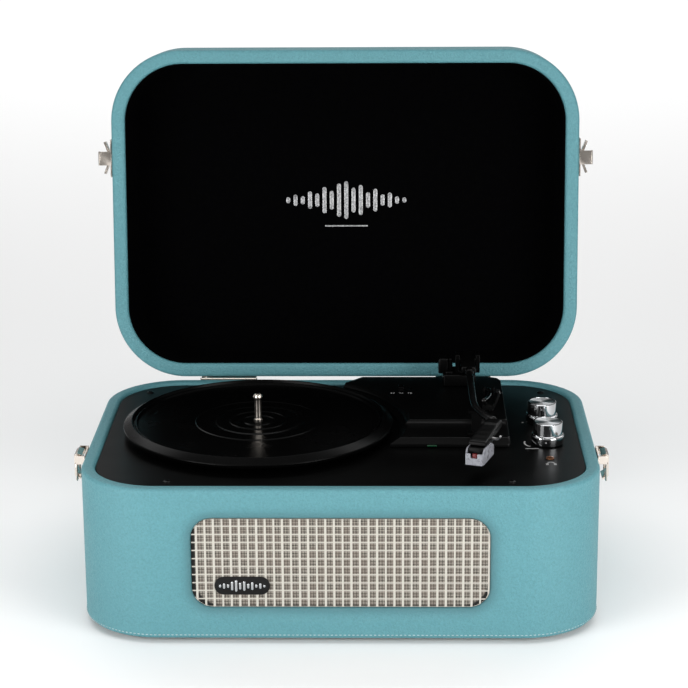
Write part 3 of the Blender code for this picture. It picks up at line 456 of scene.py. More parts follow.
def feltFinish(name):
    # Flocked lining: almost black and dull, with fibres and larger tufts as noise.
    material, tree, shader = newFinish(name, (0.0006, 0.0006, 0.0007), 1.0, Specular_IOR_Level=0.02)
    place = objectPlace(tree)
    fibres = noise(tree, place, 2600.0, 4.0, 0.7)
    tufts = noise(tree, place, 260.0, 4.0, 0.6)
    tree.links.new(blended(tree, tufts, (0.0003, 0.0003, 0.0004, 1), (0.001, 0.001, 0.0012, 1)),
                   shader.inputs["Base Color"])
    bumped(tree, shader, calculated(tree, "ADD", fibres, tufts), 0.25)
    return material


clothValues = {"pitch": 5.846, "wide": 1.35, "narrow": 1.05, "shiftX": 1.47, "shiftZ": 3.1,
               "shadowLeft": 3.0, "shadowRight": 1.6, "shadowBottom": 1.6, "shadowAbove": 14.0,
               "shadowCorner": 17.0, "margin": 0.35, "uprightRise": 0.55, "crossingRise": 0.12,
               "levelRise": 0.42, "groundRise": 0.06, "twill": 2.05, "levelShare": 0.62, "thickness": 0.35,
               "sunk": 0.75, "columns": 430, "rows": 150, "roundIn": 0.72, "cream": (0.53, 0.505, 0.45),
               "greyLight": (0.30, 0.275, 0.235), "greyDark": (0.030, 0.027, 0.023),
               "brown": (0.15, 0.115, 0.095), "edgeShadow": (0.010, 0.010, 0.009)}


def clothFinish(name):
    # Grille cloth: the weave's own attribute says which yarn a point is on. Cream yarns are plain; the
    # ground is a small twill of two greys; along the opening's left, right and bottom edges the ground is
    # painted dark as the shadow of the case's wall.
    values = clothValues
    cream = values["cream"]
    material, tree, shader = newFinish(name, cream, 0.85, Specular_IOR_Level=0.15, Sheen_Weight=0.1)
    yarn = addNode(tree, "Attribute", attribute_name="yarn").outputs["Fac"]
    unshadowed = addNode(tree, "Attribute", attribute_name="unshadowed").outputs["Fac"]
    place = objectPlace(tree)
    parts = addNode(tree, "SeparateXYZ", {"Vector": place})
    turns = 2 * pi / (values["pitch"] * 2 / 3 * mm)
    rising = calculated(tree, "ADD", parts.outputs[0], parts.outputs[2])
    falling = calculated(tree, "SUBTRACT", parts.outputs[0], parts.outputs[2])
    up, down = calculated(tree, "MULTIPLY", rising, turns), calculated(tree, "MULTIPLY", falling, turns)
    twill = calculated(tree, "MULTIPLY", calculated(tree, "SINE", up), calculated(tree, "SINE", down))
    fuzz = noise(tree, place, 1300.0, 4.0, 0.7)
    mixed = calculated(tree, "ADD", ranged(tree, twill, -0.35, 0.55, 0.0, 0.75),
                       ranged(tree, fuzz, 0.35, 0.7, 0.0, 0.35))
    ground = blended(tree, mixed, (*values["greyDark"], 1), (*values["greyLight"], 1))
    tinted = blended(tree, ranged(tree, noise(tree, place, 120.0, 2.0), 0.4, 0.6, 0.0, 0.35), ground,
                     (*values["brown"], 1))
    # painted shadow: the ground is dark near the opening's left, right and bottom edges
    behind = blended(tree, unshadowed, (*values["edgeShadow"], 1), tinted)
    creamy = blended(tree, fuzz, shade(cream, 0.85), shade(cream, 1.06))
    tree.links.new(blended(tree, ranged(tree, yarn, 0.25, 0.6, 0.0, 1.0), behind, creamy),
                   shader.inputs["Base Color"])
    bumped(tree, shader, calculated(tree, "ADD", fuzz, calculated(tree, "MULTIPLY", twill, 0.6)), 0.12)
    return material


def foilFinish(name):
    # Worn silver foil print: flecks of noise let the black lining through.
    material, tree, shader = newFinish(name, (0.30, 0.30, 0.31), 0.42, 0.35)
    place = objectPlace(tree)
    flecks = noise(tree, place, 900.0, 6.0, 0.8)
    tree.links.new(blended(tree, ranged(tree, flecks, 0.38, 0.62, 0.0, 1.0), (0.07, 0.07, 0.073, 1),
                           (0.56, 0.56, 0.57, 1)), shader.inputs["Base Color"])
    bumped(tree, shader, flecks, 0.03)
    return material


def inkFinish(name, colour):
    material, tree, shader = newFinish(name, colour, 0.55)
    worn = noise(tree, objectPlace(tree), 1500.0, 4.0, 0.7)
    tree.links.new(blended(tree, ranged(tree, worn, 0.3, 0.6, 0.0, 1.0), shade(colour, 0.6),
                           shade(colour, 1.05)),
                   shader.inputs["Base Color"])
    return material


def guardFinish(name):
    # Milky translucent plastic: light scatters inside, with a soft skin and faint flow marks.
    material, tree, shader = newFinish(name, (0.33, 0.34, 0.37), 0.3, Subsurface_Weight=0.3,
                                       Transmission_Weight=0.3)
    shader.inputs["Subsurface Radius"].default_value = (0.004, 0.004, 0.0045)
    shader.inputs["Subsurface Scale"].default_value = 0.6
    place = objectPlace(tree)
    flow = noise(tree, place, 220.0, 3.0)
    tree.links.new(ranged(tree, flow, 0.3, 0.7, 0.22, 0.42), shader.inputs["Roughness"])
    tree.links.new(blended(tree, flow, (0.27, 0.275, 0.31, 1), (0.40, 0.405, 0.44, 1)),
                   shader.inputs["Base Color"])
    bumped(tree, shader, flow, 0.03)
    return material


def fibreFinish(name, light, dark, scale=500.0):
    # Board, paper or pulp: short fibres of two tones.
    material, tree, shader = newFinish(name, light, 0.85, Specular_IOR_Level=0.2)
    fibres = noise(tree, objectPlace(tree), scale, 6.0, 0.75, 1.2)
    tree.links.new(blended(tree, ranged(tree, fibres, 0.35, 0.65, 0.0, 1.0), (*dark, 1), (*light, 1)),
                   shader.inputs["Base Color"])
    bumped(tree, shader, fibres, 0.08)
    return material


def lensFinish(name):
    # A small lens that is barely lit: a faint green glow over two clouded greens.
    material, tree, shader = newFinish(name, (0.01, 0.16, 0.06), 0.25, Emission_Color=(0.05, 0.9, 0.3, 1.0),
                                       Emission_Strength=0.009)
    place = objectPlace(tree)
    bumped(tree, shader, noise(tree, place, 900.0), 0.02)
    tree.links.new(blended(tree, noise(tree, place, 300.0), (0.001, 0.018, 0.007, 1),
                           (0.002, 0.036, 0.013, 1)),
                   shader.inputs["Base Color"])
    return material


finishes = {
    "leather": leatherFinish("pebbled_leatherette"),
    "stitch": inkFinish("pale_thread", (0.40, 0.52, 0.54)),
    "deck": plasticFinish("deck_plastic", (0.0009, 0.0009, 0.0009), 0.34, 1500.0, 0.008, 0.065, 0.03),
    "satin": plasticFinish("satin_black", (0.0012, 0.0012, 0.0012), 0.30, 1700.0, 0.006, 0.13, 0.03),
    "gloss": plasticFinish("gloss_black", (0.0014, 0.0014, 0.0014), 0.2, 700.0, 0.003, 0.25, 0.02),
    "painted": plasticFinish("arm_paint", (0.002, 0.002, 0.002), 0.26, 900.0, 0.004, 0.36, 0.03),
    "matte": plasticFinish("matte_black", (0.0012, 0.0012, 0.0012), 0.6, 1200.0, 0.01, 0.08, 0.05),
    "platter": plasticFinish("platter_black", (0.0008, 0.0008, 0.0008), 0.26, 1000.0, 0.004, 0.08, 0.03),
    "felt": feltFinish("black_flock"),
    "cloth": clothFinish("grille_weave"),
    "foil": foilFinish("silver_foil"),
    "ink": inkFinish("white_ink", (0.40, 0.40, 0.40)),
    "nickel": metalFinish("nickel_plate", (0.66, 0.60, 0.54), 0.14),
    "chrome": metalFinish("chrome_plate", (0.50, 0.51, 0.52), 0.06, 0.004),
    "spun": spunFinish("spun_chrome", (0.66, 0.67, 0.68)),
    "steel": metalFinish("plain_steel", (0.50, 0.50, 0.50), 0.3, 0.02),
    "brass": metalFinish("brass_turned", (0.24, 0.105, 0.05), 0.2),
    "rubber": plasticFinish("foot_rubber", (0.014, 0.014, 0.014), 0.8, 1100.0, 0.05, 0.3),
    "board": fibreFinish("fibreboard", (0.33, 0.23, 0.14), (0.20, 0.13, 0.075)),
    "paper": fibreFinish("cone_paper", (0.035, 0.035, 0.035), (0.015, 0.015, 0.015), 900.0),
    "circuit": plasticFinish("circuit_green", (0.012, 0.10, 0.035), 0.35, 600.0, 0.02),
    "red": plasticFinish("red_stylus", (0.13, 0.002, 0.003), 0.3, 900.0, 0.01),
    "guard": guardFinish("milky_plastic"),
    "led": lensFinish("green_lens"),
}
print("finishes ready")

# a softbox is its power, its place, its width and height, and the point that it faces
stageValues = {"floor": 9.0, "world": 0.29,
               "softboxes": {"right": (5.4, (0.62, -0.72, 0.26), (0.5, 0.45), (0.0, -0.1, 0.06)),
                             "left": (4.9, (-0.62, -0.72, 0.26), (0.5, 0.45), (0.0, -0.1, 0.06)),
                             "over": (6.6, (0.0, -0.6, 1.5), (1.6, 0.6), (0.0, 0.0, 0.12)),
                             "backdrop": (125.0, (0.0, 3.1, 2.8), (6.0, 3.6), (0.0, 3.1, 0.0))}}
viewValues = {"eye": (35.6, -1520.8, 611.5), "turn": 1.28, "tilt": 16.06, "roll": -0.4, "lens": 115.32}


def makeStage():
    half = stageValues["floor"] / 2
    mesh = bpy.data.meshes.new("studio_floor")
    corners = [(-half, -half, 0), (half, -half, 0), (half, half, 0), (-half, half, 0)]
    mesh.from_pydata(corners, [], [(0, 1, 2, 3)])
    floor = bpy.data.objects.new("studio_floor", mesh)
    bpy.context.scene.collection.objects.link(floor)
    material, tree, shader = newFinish("pale_floor", (0.97, 0.97, 0.97), 0.9, Specular_IOR_Level=0.1)
    tree.links.new(ranged(tree, noise(tree, objectPlace(tree), 3.0), 0.0, 1.0, 0.86, 0.94),
                   shader.inputs["Roughness"])
    mesh.materials.append(material)

    world = bpy.data.worlds.new("studio")
    bpy.context.scene.world = world
    world.use_nodes = True
    background = world.node_tree.nodes["Background"]
    background.inputs["Color"].default_value = (1.0, 1.0, 1.0, 1.0)
    background.inputs["Strength"].default_value = stageValues["world"]
    for name, (power, at, size, aim) in stageValues["softboxes"].items():
        light = bpy.data.lights.new(name, "AREA")
        light.shape = "RECTANGLE"
        light.size, light.size_y = size
        light.energy = power
        lamp = bpy.data.objects.new(name + "_softbox", light)
        bpy.context.scene.collection.objects.link(lamp)
        lamp.location = at
        lamp.rotation_euler = (Vector(aim) - Vector(at)).to_track_quat("-Z", "Y").to_euler()

    camera = bpy.data.cameras.new("camera")
    camera.sensor_width = 36.0
    camera.lens = viewValues["lens"]
    camera.clip_start, camera.clip_end = 0.05, 50.0
    viewer = bpy.data.objects.new("camera", camera)
    bpy.context.scene.collection.objects.link(viewer)
    turn, tilt, roll = (math.radians(viewValues[key]) for key in ("turn", "tilt", "roll"))
    viewer.matrix_world = (Matrix.Translation(toFrame(viewValues["eye"])) @ Matrix.Rotation(turn, 4, "Z")
                           @ Matrix.Rotation(pi / 2 - tilt, 4, "X") @ Matrix.Rotation(roll, 4, "Z"))
    bpy.context.scene.camera = viewer
    bpy.context.scene.view_settings.view_transform = "Standard"


makeStage()
print("stage ready")

caseValues = {"corner": 55.2, "wall": 9.5, "rim": 2.6, "foot": 2.0, "dip": 1.5, "dipReach": 7.5, "lip": 2.2,
              "margin": 13.0, "above": 10.0, "wrinkle": 0.10, "columns": 72, "rows": 26, "socketGap": 0.3,
              "socketCorner": 4.0}
grilleLow, grilleHigh = nodeBox("grille_cloth")
grille = {"x": (grilleLow[0] + grilleHigh[0]) / 2, "z": (grilleLow[2] + grilleHigh[2]) / 2,
          "width": grilleHigh[0] - grilleLow[0] + 0.6, "height": grilleHigh[2] - grilleLow[2] + 0.6,
          "corner": 14.5}


def quarter(fromInset, fromHeight, toInset, toHeight, steps, firstAcross):
    # A quarter ellipse between two points of a profile; it starts across or up.
    t = np.linspace(0, pi / 2, steps + 1)
    a, b = (np.sin(t), 1 - np.cos(t)) if firstAcross else (1 - np.cos(t), np.sin(t))
    return np.stack([fromInset + (toInset - fromInset) * a, fromHeight + (toHeight - fromHeight) * b], -1)


def creaseWave(length, strength, seed):
    # Short creases along a path: sines of unlike pitch multiplied together, so they come in groups.
    step = np.arange(length)
    groups = 0.6 + 0.4 * np.sin(step * 0.17)
    return strength * np.sin(step * 1.93 + seed) * np.sin(step * 0.41 + 2 * seed) * groups


def roundedDistance(x, z, left, right, low, high, corner):
    # Distance outside a rectangle with round corners, negative inside.
    dx = np.abs(x - (left + right) / 2) - (right - left) / 2 + corner
    dz = np.abs(z - (low + high) / 2) - (high - low) / 2 + corner
    return np.hypot(np.maximum(dx, 0), np.maximum(dz, 0)) + np.minimum(np.maximum(dx, dz), 0) - corner


def cutOut(piece, outline, near, far, smooth):
    # Takes a prism of that outline, seen from the front, out of a closed piece between two depths.
    mesh = bpy.data.meshes.new("cutter")
    points = np.concatenate([np.stack([outline[:, 0], np.full(len(outline), y), outline[:, 1]], -1)
                             for y in (near, far)])
    count = len(outline)
    sides = [(i, (i + 1) % count, count + (i + 1) % count, count + i) for i in range(count)]
    mesh.from_pydata(toFrame(points).tolist(), [], sides + [range(count),
                                                            range(2 * count - 1, count - 1, -1)])
    clean(mesh, 0.0000001)
    cutter = bpy.data.objects.new("cutter", mesh)
    bpy.context.scene.collection.objects.link(cutter)
    boolean = piece.modifiers.new("Opening", "BOOLEAN")
    boolean.operation, boolean.object, boolean.solver = "DIFFERENCE", cutter, "EXACT"
    bpy.context.view_layer.update()
    whole = piece.data
    piece.data = bpy.data.meshes.new_from_object(piece.evaluated_get(bpy.context.evaluated_depsgraph_get()))
    piece.modifiers.clear()
    bpy.data.objects.remove(cutter)
    bpy.data.meshes.remove(whole)
    piece.data.shade_smooth()
    piece.data.set_sharp_from_angle(angle=math.radians(smooth))


def makeCaseShell():
    # The wall is a profile of (inset, height) carried round the case's outline. In front a rectangle of it
    # is left out, and rings run from that rectangle to the grille opening, into it, and out again inside.
    values = caseValues
    width, depth, height = caseSize
    columns, rowsInPatch = values["columns"], values["rows"]
    halfW, halfH, bend = grille["width"] / 2, grille["height"] / 2, grille["corner"]
    left, right = grille["x"] - halfW - values["margin"], grille["x"] + halfW + values["margin"]
    low, high = grille["z"] - halfH - values["above"], grille["z"] + halfH + values["above"]
    halfX, halfY, radius = width / 2 - values["corner"], depth / 2 - values["corner"], values["corner"]
    turn = np.linspace(0, pi / 2, 33)[1:-1]
    front = np.concatenate([[-halfX], np.linspace(left, right, columns + 1), [halfX]])
    sideSteps, backSteps = 40, 60
    outline = [np.stack([front, np.full(len(front), -depth / 2)], -1)]
    normal = [np.tile([0.0, -1.0], (len(front), 1))]
    for signX, signY, start in ((1, -1, 0), (1, 1, 1), (-1, 1, 2), (-1, -1, 3)):
        angle = turn - pi / 2 + start * pi / 2
        outward = np.stack([np.cos(angle), np.sin(angle)], -1)
        outline.append(np.array([signX * halfX, signY * halfY]) + radius * outward)
        normal.append(outward)
        if start == 0:
            t = np.linspace(-halfY, halfY, sideSteps)
            outline.append(np.stack([np.full(sideSteps, width / 2), t], -1))
            normal.append(np.tile([1.0, 0.0], (sideSteps, 1)))
        if start == 1:
            t = np.linspace(halfX, -halfX, backSteps)
            outline.append(np.stack([t, np.full(backSteps, depth / 2)], -1))
            normal.append(np.tile([0.0, 1.0], (backSteps, 1)))
        if start == 2:
            t = np.linspace(halfY, -halfY, sideSteps)
            outline.append(np.stack([np.full(sideSteps, -width / 2), t], -1))
            normal.append(np.tile([-1.0, 0.0], (sideSteps, 1)))
    outline, normal = np.concatenate(outline), np.concatenate(normal)
    cornerShare = np.minimum(1.0, 2.5 * np.abs(normal[:, 0] * normal[:, 1]) * 2)

    wall, rim, foot = values["wall"], values["rim"], values["foot"]
    patchRows = np.linspace(low, high, rowsInPatch + 1)
    up = np.concatenate([np.linspace(foot, low, 5)[1:-1], patchRows,
                         np.linspace(high, height - rim, 7)[1:-1]])
    down = np.concatenate([np.linspace(height - rim, high, 7)[1:-1], patchRows[::-1],
                           np.linspace(low, foot, 5)[1:-1]])
    profile = np.concatenate([
        quarter(foot, 0.0, 0.0, foot, 5, False),
        np.stack([np.zeros(len(up)), up], -1),
        quarter(0.0, height - rim, rim, height, 7, False),
        quarter(wall - rim, height, wall, height - rim, 7, True),
        np.stack([np.full(len(down), wall), down], -1),
        [(wall, foot), (wall - foot, 0.0)]])
    inset, heights = profile[:, 0][:, None], profile[:, 1][:, None]
    rimShare = np.exp(-((heights - height) / 5.0) ** 2) * (inset < wall - 1)
    crease = creaseWave(len(outline), values["wrinkle"], 1.3)[None] * cornerShare[None] * rimShare
    inset = inset - crease
    points = carried(outline, normal, inset, heights + 0.5 * crease)
    rows, count = points.shape[:2]
    keep = np.ones((rows, count), bool)
    # rows before the rectangle: 6 in the foot's turn and 3 above it; inside the wall, the rim's two turns
    # of 8 and 5 below them
    firstUp = 6 + 3
    firstDown = 6 + len(up) + 8 + 8 + 5
    keep[firstUp:firstUp + rowsInPatch, 1:1 + columns] = False
    keep[firstDown:firstDown + rowsInPatch, 1:1 + columns] = False
    faces = gridFaces(rows, count, wrapRows=True, wrapColumns=True)[keep.ravel()]

    # the rectangle's edge, counter-clockwise from its lower left corner, and the same share of the
    # opening's edge
    across, upwards = np.linspace(left, right, columns + 1), patchRows
    edge = np.concatenate([
        np.stack([across[:-1], np.full(columns, low)], -1),
        np.stack([np.full(rowsInPatch, right), upwards[:-1]], -1),
        np.stack([across[:0:-1], np.full(columns, high)], -1),
        np.stack([np.full(rowsInPatch, left), upwards[:0:-1]], -1)])
    arc = bend * pi / 4
    target, outward = [], []
    for k, steps in enumerate((columns, rowsInPatch, columns, rowsInPatch)):
        a, b = (halfW, halfH) if k % 2 == 0 else (halfH, halfW)
        run = np.linspace(0, 2 * (a - bend) + 2 * arc, steps, endpoint=False)
        start = np.clip(run, 0, arc) / bend - pi / 4
        end = np.clip(run - arc - 2 * (a - bend), 0, arc) / bend
        x = np.clip(run - arc, 0, 2 * (a - bend)) - (a - bend) + bend * (np.sin(start) + np.sin(end))
        y = -(b - bend) - bend * np.cos(start + end)
        nx, ny = np.sin(start + end), -np.cos(start + end)
        spin = k * pi / 2
        c, s = math.cos(spin), math.sin(spin)
        target.append(np.stack([c * x - s * y, s * x + c * y], -1))
        outward.append(np.stack([c * nx - s * ny, s * nx + c * ny], -1))
    target = np.concatenate(target) + [grille["x"], grille["z"]]
    outward = np.concatenate(outward)
    lip = values["lip"]
    near = target + outward * lip
    share = (np.linspace(1, 0, 13) ** 1.6)[:, None, None]
    flat = near[None] + (edge - near)[None] * share
    away = np.linalg.norm(flat - target, axis=-1)
    sunk = values["dip"] * np.exp(-(away / values["dipReach"]) ** 2) * (1 - share[..., 0] ** 3)
    bottom = values["dip"] * math.exp(-(lip / values["dipReach"]) ** 2)
    roll = np.linspace(0, pi / 2, 7)[1:, None, None]
    rolled = target + outward * lip * (1 - np.sin(roll))
    rolledDepth = np.broadcast_to(bottom + lip * (1 - np.cos(roll[..., 0])), rolled.shape[:2])
    inner = np.stack([target, target, edge])
    innerDepth = np.broadcast_to(np.array([[values["wall"] - 3.0], [values["wall"]], [values["wall"]]]),
                                 inner.shape[:2])
    rings = np.concatenate([flat, rolled, inner])
    sinking = np.concatenate([sunk, rolledDepth, innerDepth])
    patch = np.stack([rings[..., 0], -depth / 2 + sinking, rings[..., 1]], -1)
    patchFaces = gridFaces(*patch.shape[:2], wrapColumns=True, start=rows * count)
    piece = makePiece("case_leather", np.concatenate([points.reshape(-1, 3), patch.reshape(-1, 3)]),
                      np.concatenate([faces, patchFaces]), finishes["leather"], "base", "case_shell",
                      "leatherette", smooth=50.0, merge=0.0002)
    low, high = nodeBox("socket_plate")
    width, tall = high[0] - low[0] + 2 * values["socketGap"], high[2] - low[2] + 2 * values["socketGap"]
    opening = roundedRectangle(width, tall, values["socketCorner"], side=2, corner=6)[0]
    opening = opening + [(low[0] + high[0]) / 2, (low[2] + high[2]) / 2]
    cutOut(piece, opening, depth / 2 - values["wall"] - 5, depth / 2 + 5, 50.0)
    flat = np.zeros(len(piece.data.vertices) * 3)
    piece.data.vertices.foreach_get("co", flat)
    place = (flat.reshape(-1, 3) - caseOrigin) / mm
    away = roundedDistance(place[:, 0], place[:, 2], grille["x"] - halfW, grille["x"] + halfW,
                           grille["z"] - halfH, grille["z"] + halfH, bend)
    # painted shade round the grille opening: a share that falls off over about five millimetres from its
    # edge, on the front only, and darkens the leather's colour
    openingShade = np.exp(-(np.maximum(away, 0) / 5.0) ** 2) * (place[:, 1] < -depth / 2 + 4)
    attribute = piece.data.attributes.new("openingShade", "FLOAT", "POINT")
    attribute.data.foreach_set("value", openingShade.astype(np.float32))


stitchValues = {"pitch": 2.95, "length": 1.95, "radius": 0.32, "height": 2.9, "arch": 0.28, "sunk": 0.12}


def stitchRun(path, outward, name, body):
    # Stitches along a closed path: each is a short capsule of a few dozen faces that arches out of the
    # leather and back, height = arch * cos of the place along it, less what is sunk.
    values = stitchValues
    path, outward = np.asarray(path, float), np.asarray(outward, float)
    ring = np.concatenate([path, path[:1]])
    lengths = np.concatenate([[0], np.cumsum(np.linalg.norm(np.diff(ring, axis=0), axis=1))])
    count = int(lengths[-1] / values["pitch"])
    centres = (np.arange(count) + 0.5) * lengths[-1] / count
    t = np.linspace(-0.5, 0.5, 6)
    at = centres[:, None] + t[None] * values["length"]
    place = np.stack([np.interp(at, lengths, ring[:, k]) for k in range(3)], -1)
    outRing = np.concatenate([outward, outward[:1]])
    normal = np.stack([np.interp(at, lengths, outRing[:, k]) for k in range(3)], -1)
    normal /= np.linalg.norm(normal, axis=-1)[..., None]
    place = place + normal * (values["arch"] * np.cos(t * pi) - values["sunk"])[None, :, None]
    along = np.gradient(place, axis=1)
    along /= np.linalg.norm(along, axis=-1)[..., None]
    side = np.cross(along, normal)
    radius = values["radius"] * np.sqrt(np.clip(1 - (2 * t) ** 4, 0.02, 1))[None, :, None, None]
    sides = len(t)
    angle = np.linspace(0, 2 * pi, sides, endpoint=False)[None, None, :, None]
    aside = np.cos(angle) * side[:, :, None] + np.sin(angle) * normal[:, :, None]
    points = place[:, :, None] + radius * aside
    quads = gridFaces(sides, sides, wrapColumns=True)
    first = np.arange(count)[:, None] * sides ** 2
    faces = (quads[None] + first[..., None]).reshape(-1, 4)
    around = np.arange(sides)[None]
    caps = np.concatenate([first + around[:, ::-1], first + sides * (sides - 1) + around]).tolist()
    makePiece(name, points, faces, finishes["stitch"], body, caps=caps, merge=0.0000001)


def makeStitches():
    outline, normal = roundedRectangle(caseSize[0], caseSize[1], caseValues["corner"], 60, 30)
    heights = np.full((len(outline), 1), stitchValues["height"])
    level = np.concatenate([outline, heights], 1)
    outward = np.concatenate([normal, np.zeros((len(normal), 1))], 1)
    stitchRun(level, outward, "case_stitching", "base")


makeCaseShell()
makeStitches()
print("case ready")


def makeCloth():
    # A grid of points stands out where a yarn runs: height = the larger of two rows of bumps, and the
    # upright yarns pass over and under the level ones by a sine of the crossing.
    values = clothValues
    margin = values["margin"]
    left, right = grille["x"] - grille["width"] / 2 + margin, grille["x"] + grille["width"] / 2 - margin
    low, high = grille["z"] - grille["height"] / 2 + margin, grille["z"] + grille["height"] / 2 - margin
    xs, zs = np.meshgrid(np.linspace(left, right, values["columns"]), np.linspace(low, high, values["rows"]))
    pitch = values["pitch"]
    fromUpright = np.abs((xs - grille["x"] - values["shiftX"] + pitch / 2) % pitch - pitch / 2)
    fromLevel = np.abs((zs - grille["z"] - values["shiftZ"] + pitch / 2) % pitch - pitch / 2)
    upright = np.clip(1 - (fromUpright / (values["wide"] / 2)) ** 2, 0, 1) ** 0.5
    level = np.clip(1 - (fromLevel / (values["narrow"] / 2)) ** 2, 0, 1) ** 0.5
    crossing = values["crossingRise"] * np.cos(pi * (zs - grille["z"]) / pitch)
    twill = np.sin(2 * pi * (xs + zs) / values["twill"]) * np.sin(2 * pi * (xs - zs) / values["twill"])
    ground = 0.1 + values["groundRise"] * twill
    yarns = np.maximum(upright * (values["uprightRise"] + crossing), level * values["levelRise"])
    height = np.maximum(yarns, ground)
    front = grilleLow[1] + values["sunk"]
    inOpening = roundedDistance(xs, zs, left, right, low, high, grille["corner"] - margin)
    xs = np.where(inOpening > 0, xs - np.sign(xs - grille["x"]) * inOpening * values["roundIn"], xs)
    zs = np.where(inOpening > 0, zs - np.sign(zs - grille["z"]) * inOpening * values["roundIn"], zs)
    points = np.stack([xs, front - height, zs], -1)
    piece = makePiece("grille_weave_cloth", points, gridFaces(*xs.shape), finishes["cloth"], "base",
                      "grille_cloth", "grille_weave", smooth=180.0, merge=0.0000001)
    # painted shadow: outside this rounded rectangle, near the opening's left, right and bottom edges, the
    # cloth's ground is coloured dark
    board = roundedDistance(xs, zs, grille["x"] - grille["width"] / 2 + values["shadowLeft"],
                            grille["x"] + grille["width"] / 2 - values["shadowRight"],
                            grille["z"] - grille["height"] / 2 + values["shadowBottom"],
                            grille["z"] + grille["height"] / 2 + values["shadowAbove"], values["shadowCorner"])
    unshadowed = np.clip(0.5 - board / 1.2, 0, 1)
    for name, value in (("yarn", np.maximum(upright, level * values["levelShare"])), ("unshadowed", unshadowed)):
        attribute = piece.data.attributes.new(name, "FLOAT", "POINT")
        attribute.data.foreach_set("value", value.astype(np.float32).ravel())
    solidify = piece.modifiers.new("Thickness", "SOLIDIFY")
    solidify.thickness = values["thickness"] * mm
    solidify.offset = -1.0


badgeValues = {"bars": (0.28, 0.5, 0.34, 0.78, 1.0, 0.62, 0.86, 0.44, 0.7, 0.3, 0.5, 0.24), "barWidth": 1.7,
               "pitch": 2.75, "tallest": 8.4}


def capsuleOutline(x, z, halfWidth, halfHeight):
    # An upright bar with round ends, seen from the front.
    turn = np.linspace(0, pi, 8)
    straight = max(0.01, halfHeight - halfWidth)
    top = np.stack([x + halfWidth * np.cos(turn), z + straight + halfWidth * np.sin(turn)], -1)
    bottom = np.stack([x - halfWidth * np.cos(turn), z - straight - halfWidth * np.sin(turn)], -1)
    return np.concatenate([top, bottom])


def makeBadge():
    low, high = nodeBox("grille_badge")
    centre = (low + high) / 2
    halfWidth, halfHeight = (high[0] - low[0]) / 2, (high[2] - low[2]) / 2
    turn = np.linspace(0, pi, 17)
    ends = halfWidth - halfHeight
    outline = np.concatenate([np.stack([ends + halfHeight * np.sin(turn), -halfHeight * np.cos(turn)], -1),
                              np.stack([-ends - halfHeight * np.sin(turn), halfHeight * np.cos(turn)], -1)])

    def facing(points):
        x, z, rise = points[..., 0], points[..., 1], points[..., 2]
        return np.stack([centre[0] + x, high[1] - rise, centre[2] + z], -1)

    slab("badge_plate", outline, 0.0, 0.9, 0.3, finishes["gloss"], "base", frameOf=facing,
         slot="gloss_black", replaces="grille_badge")
    heights = np.array(badgeValues["bars"])
    parts = []
    for k, share in enumerate(heights):
        x = (k - (len(heights) - 1) / 2) * badgeValues["pitch"]
        bar = capsuleOutline(x, 0.0, badgeValues["barWidth"] / 2, share * badgeValues["tallest"] / 2)
        inset = np.array([0.0, 0.0, 0.12, 0.4, 0.8])[:, None, None]
        rise = np.array([0.7, 1.05, 1.25, 1.38, 1.4])
        middleOf = np.array([x, 0.0])
        rings = middleOf + (bar - middleOf)[None] * (1 - inset * np.array([1.0, 0.35]))
        rings = np.concatenate([rings, np.broadcast_to(middleOf, (1, *bar.shape))])
        rise = np.append(rise, 1.4)
        grid = facing(lifted(rings, rise))
        parts.append((grid, gridFaces(*grid.shape[:2], wrapColumns=True)))
    joined("badge_bars", parts, finishes["chrome"], "base", slot="chrome")


makeCloth()
makeBadge()
print("grille ready")

lidValues = {"depth": 50.0, "gap": 0.4, "wall": 10.6, "top": 4.0, "rim": 2.4, "crown": 6.0, "wrinkle": 0.13,
             "liningDrop": 1.6}


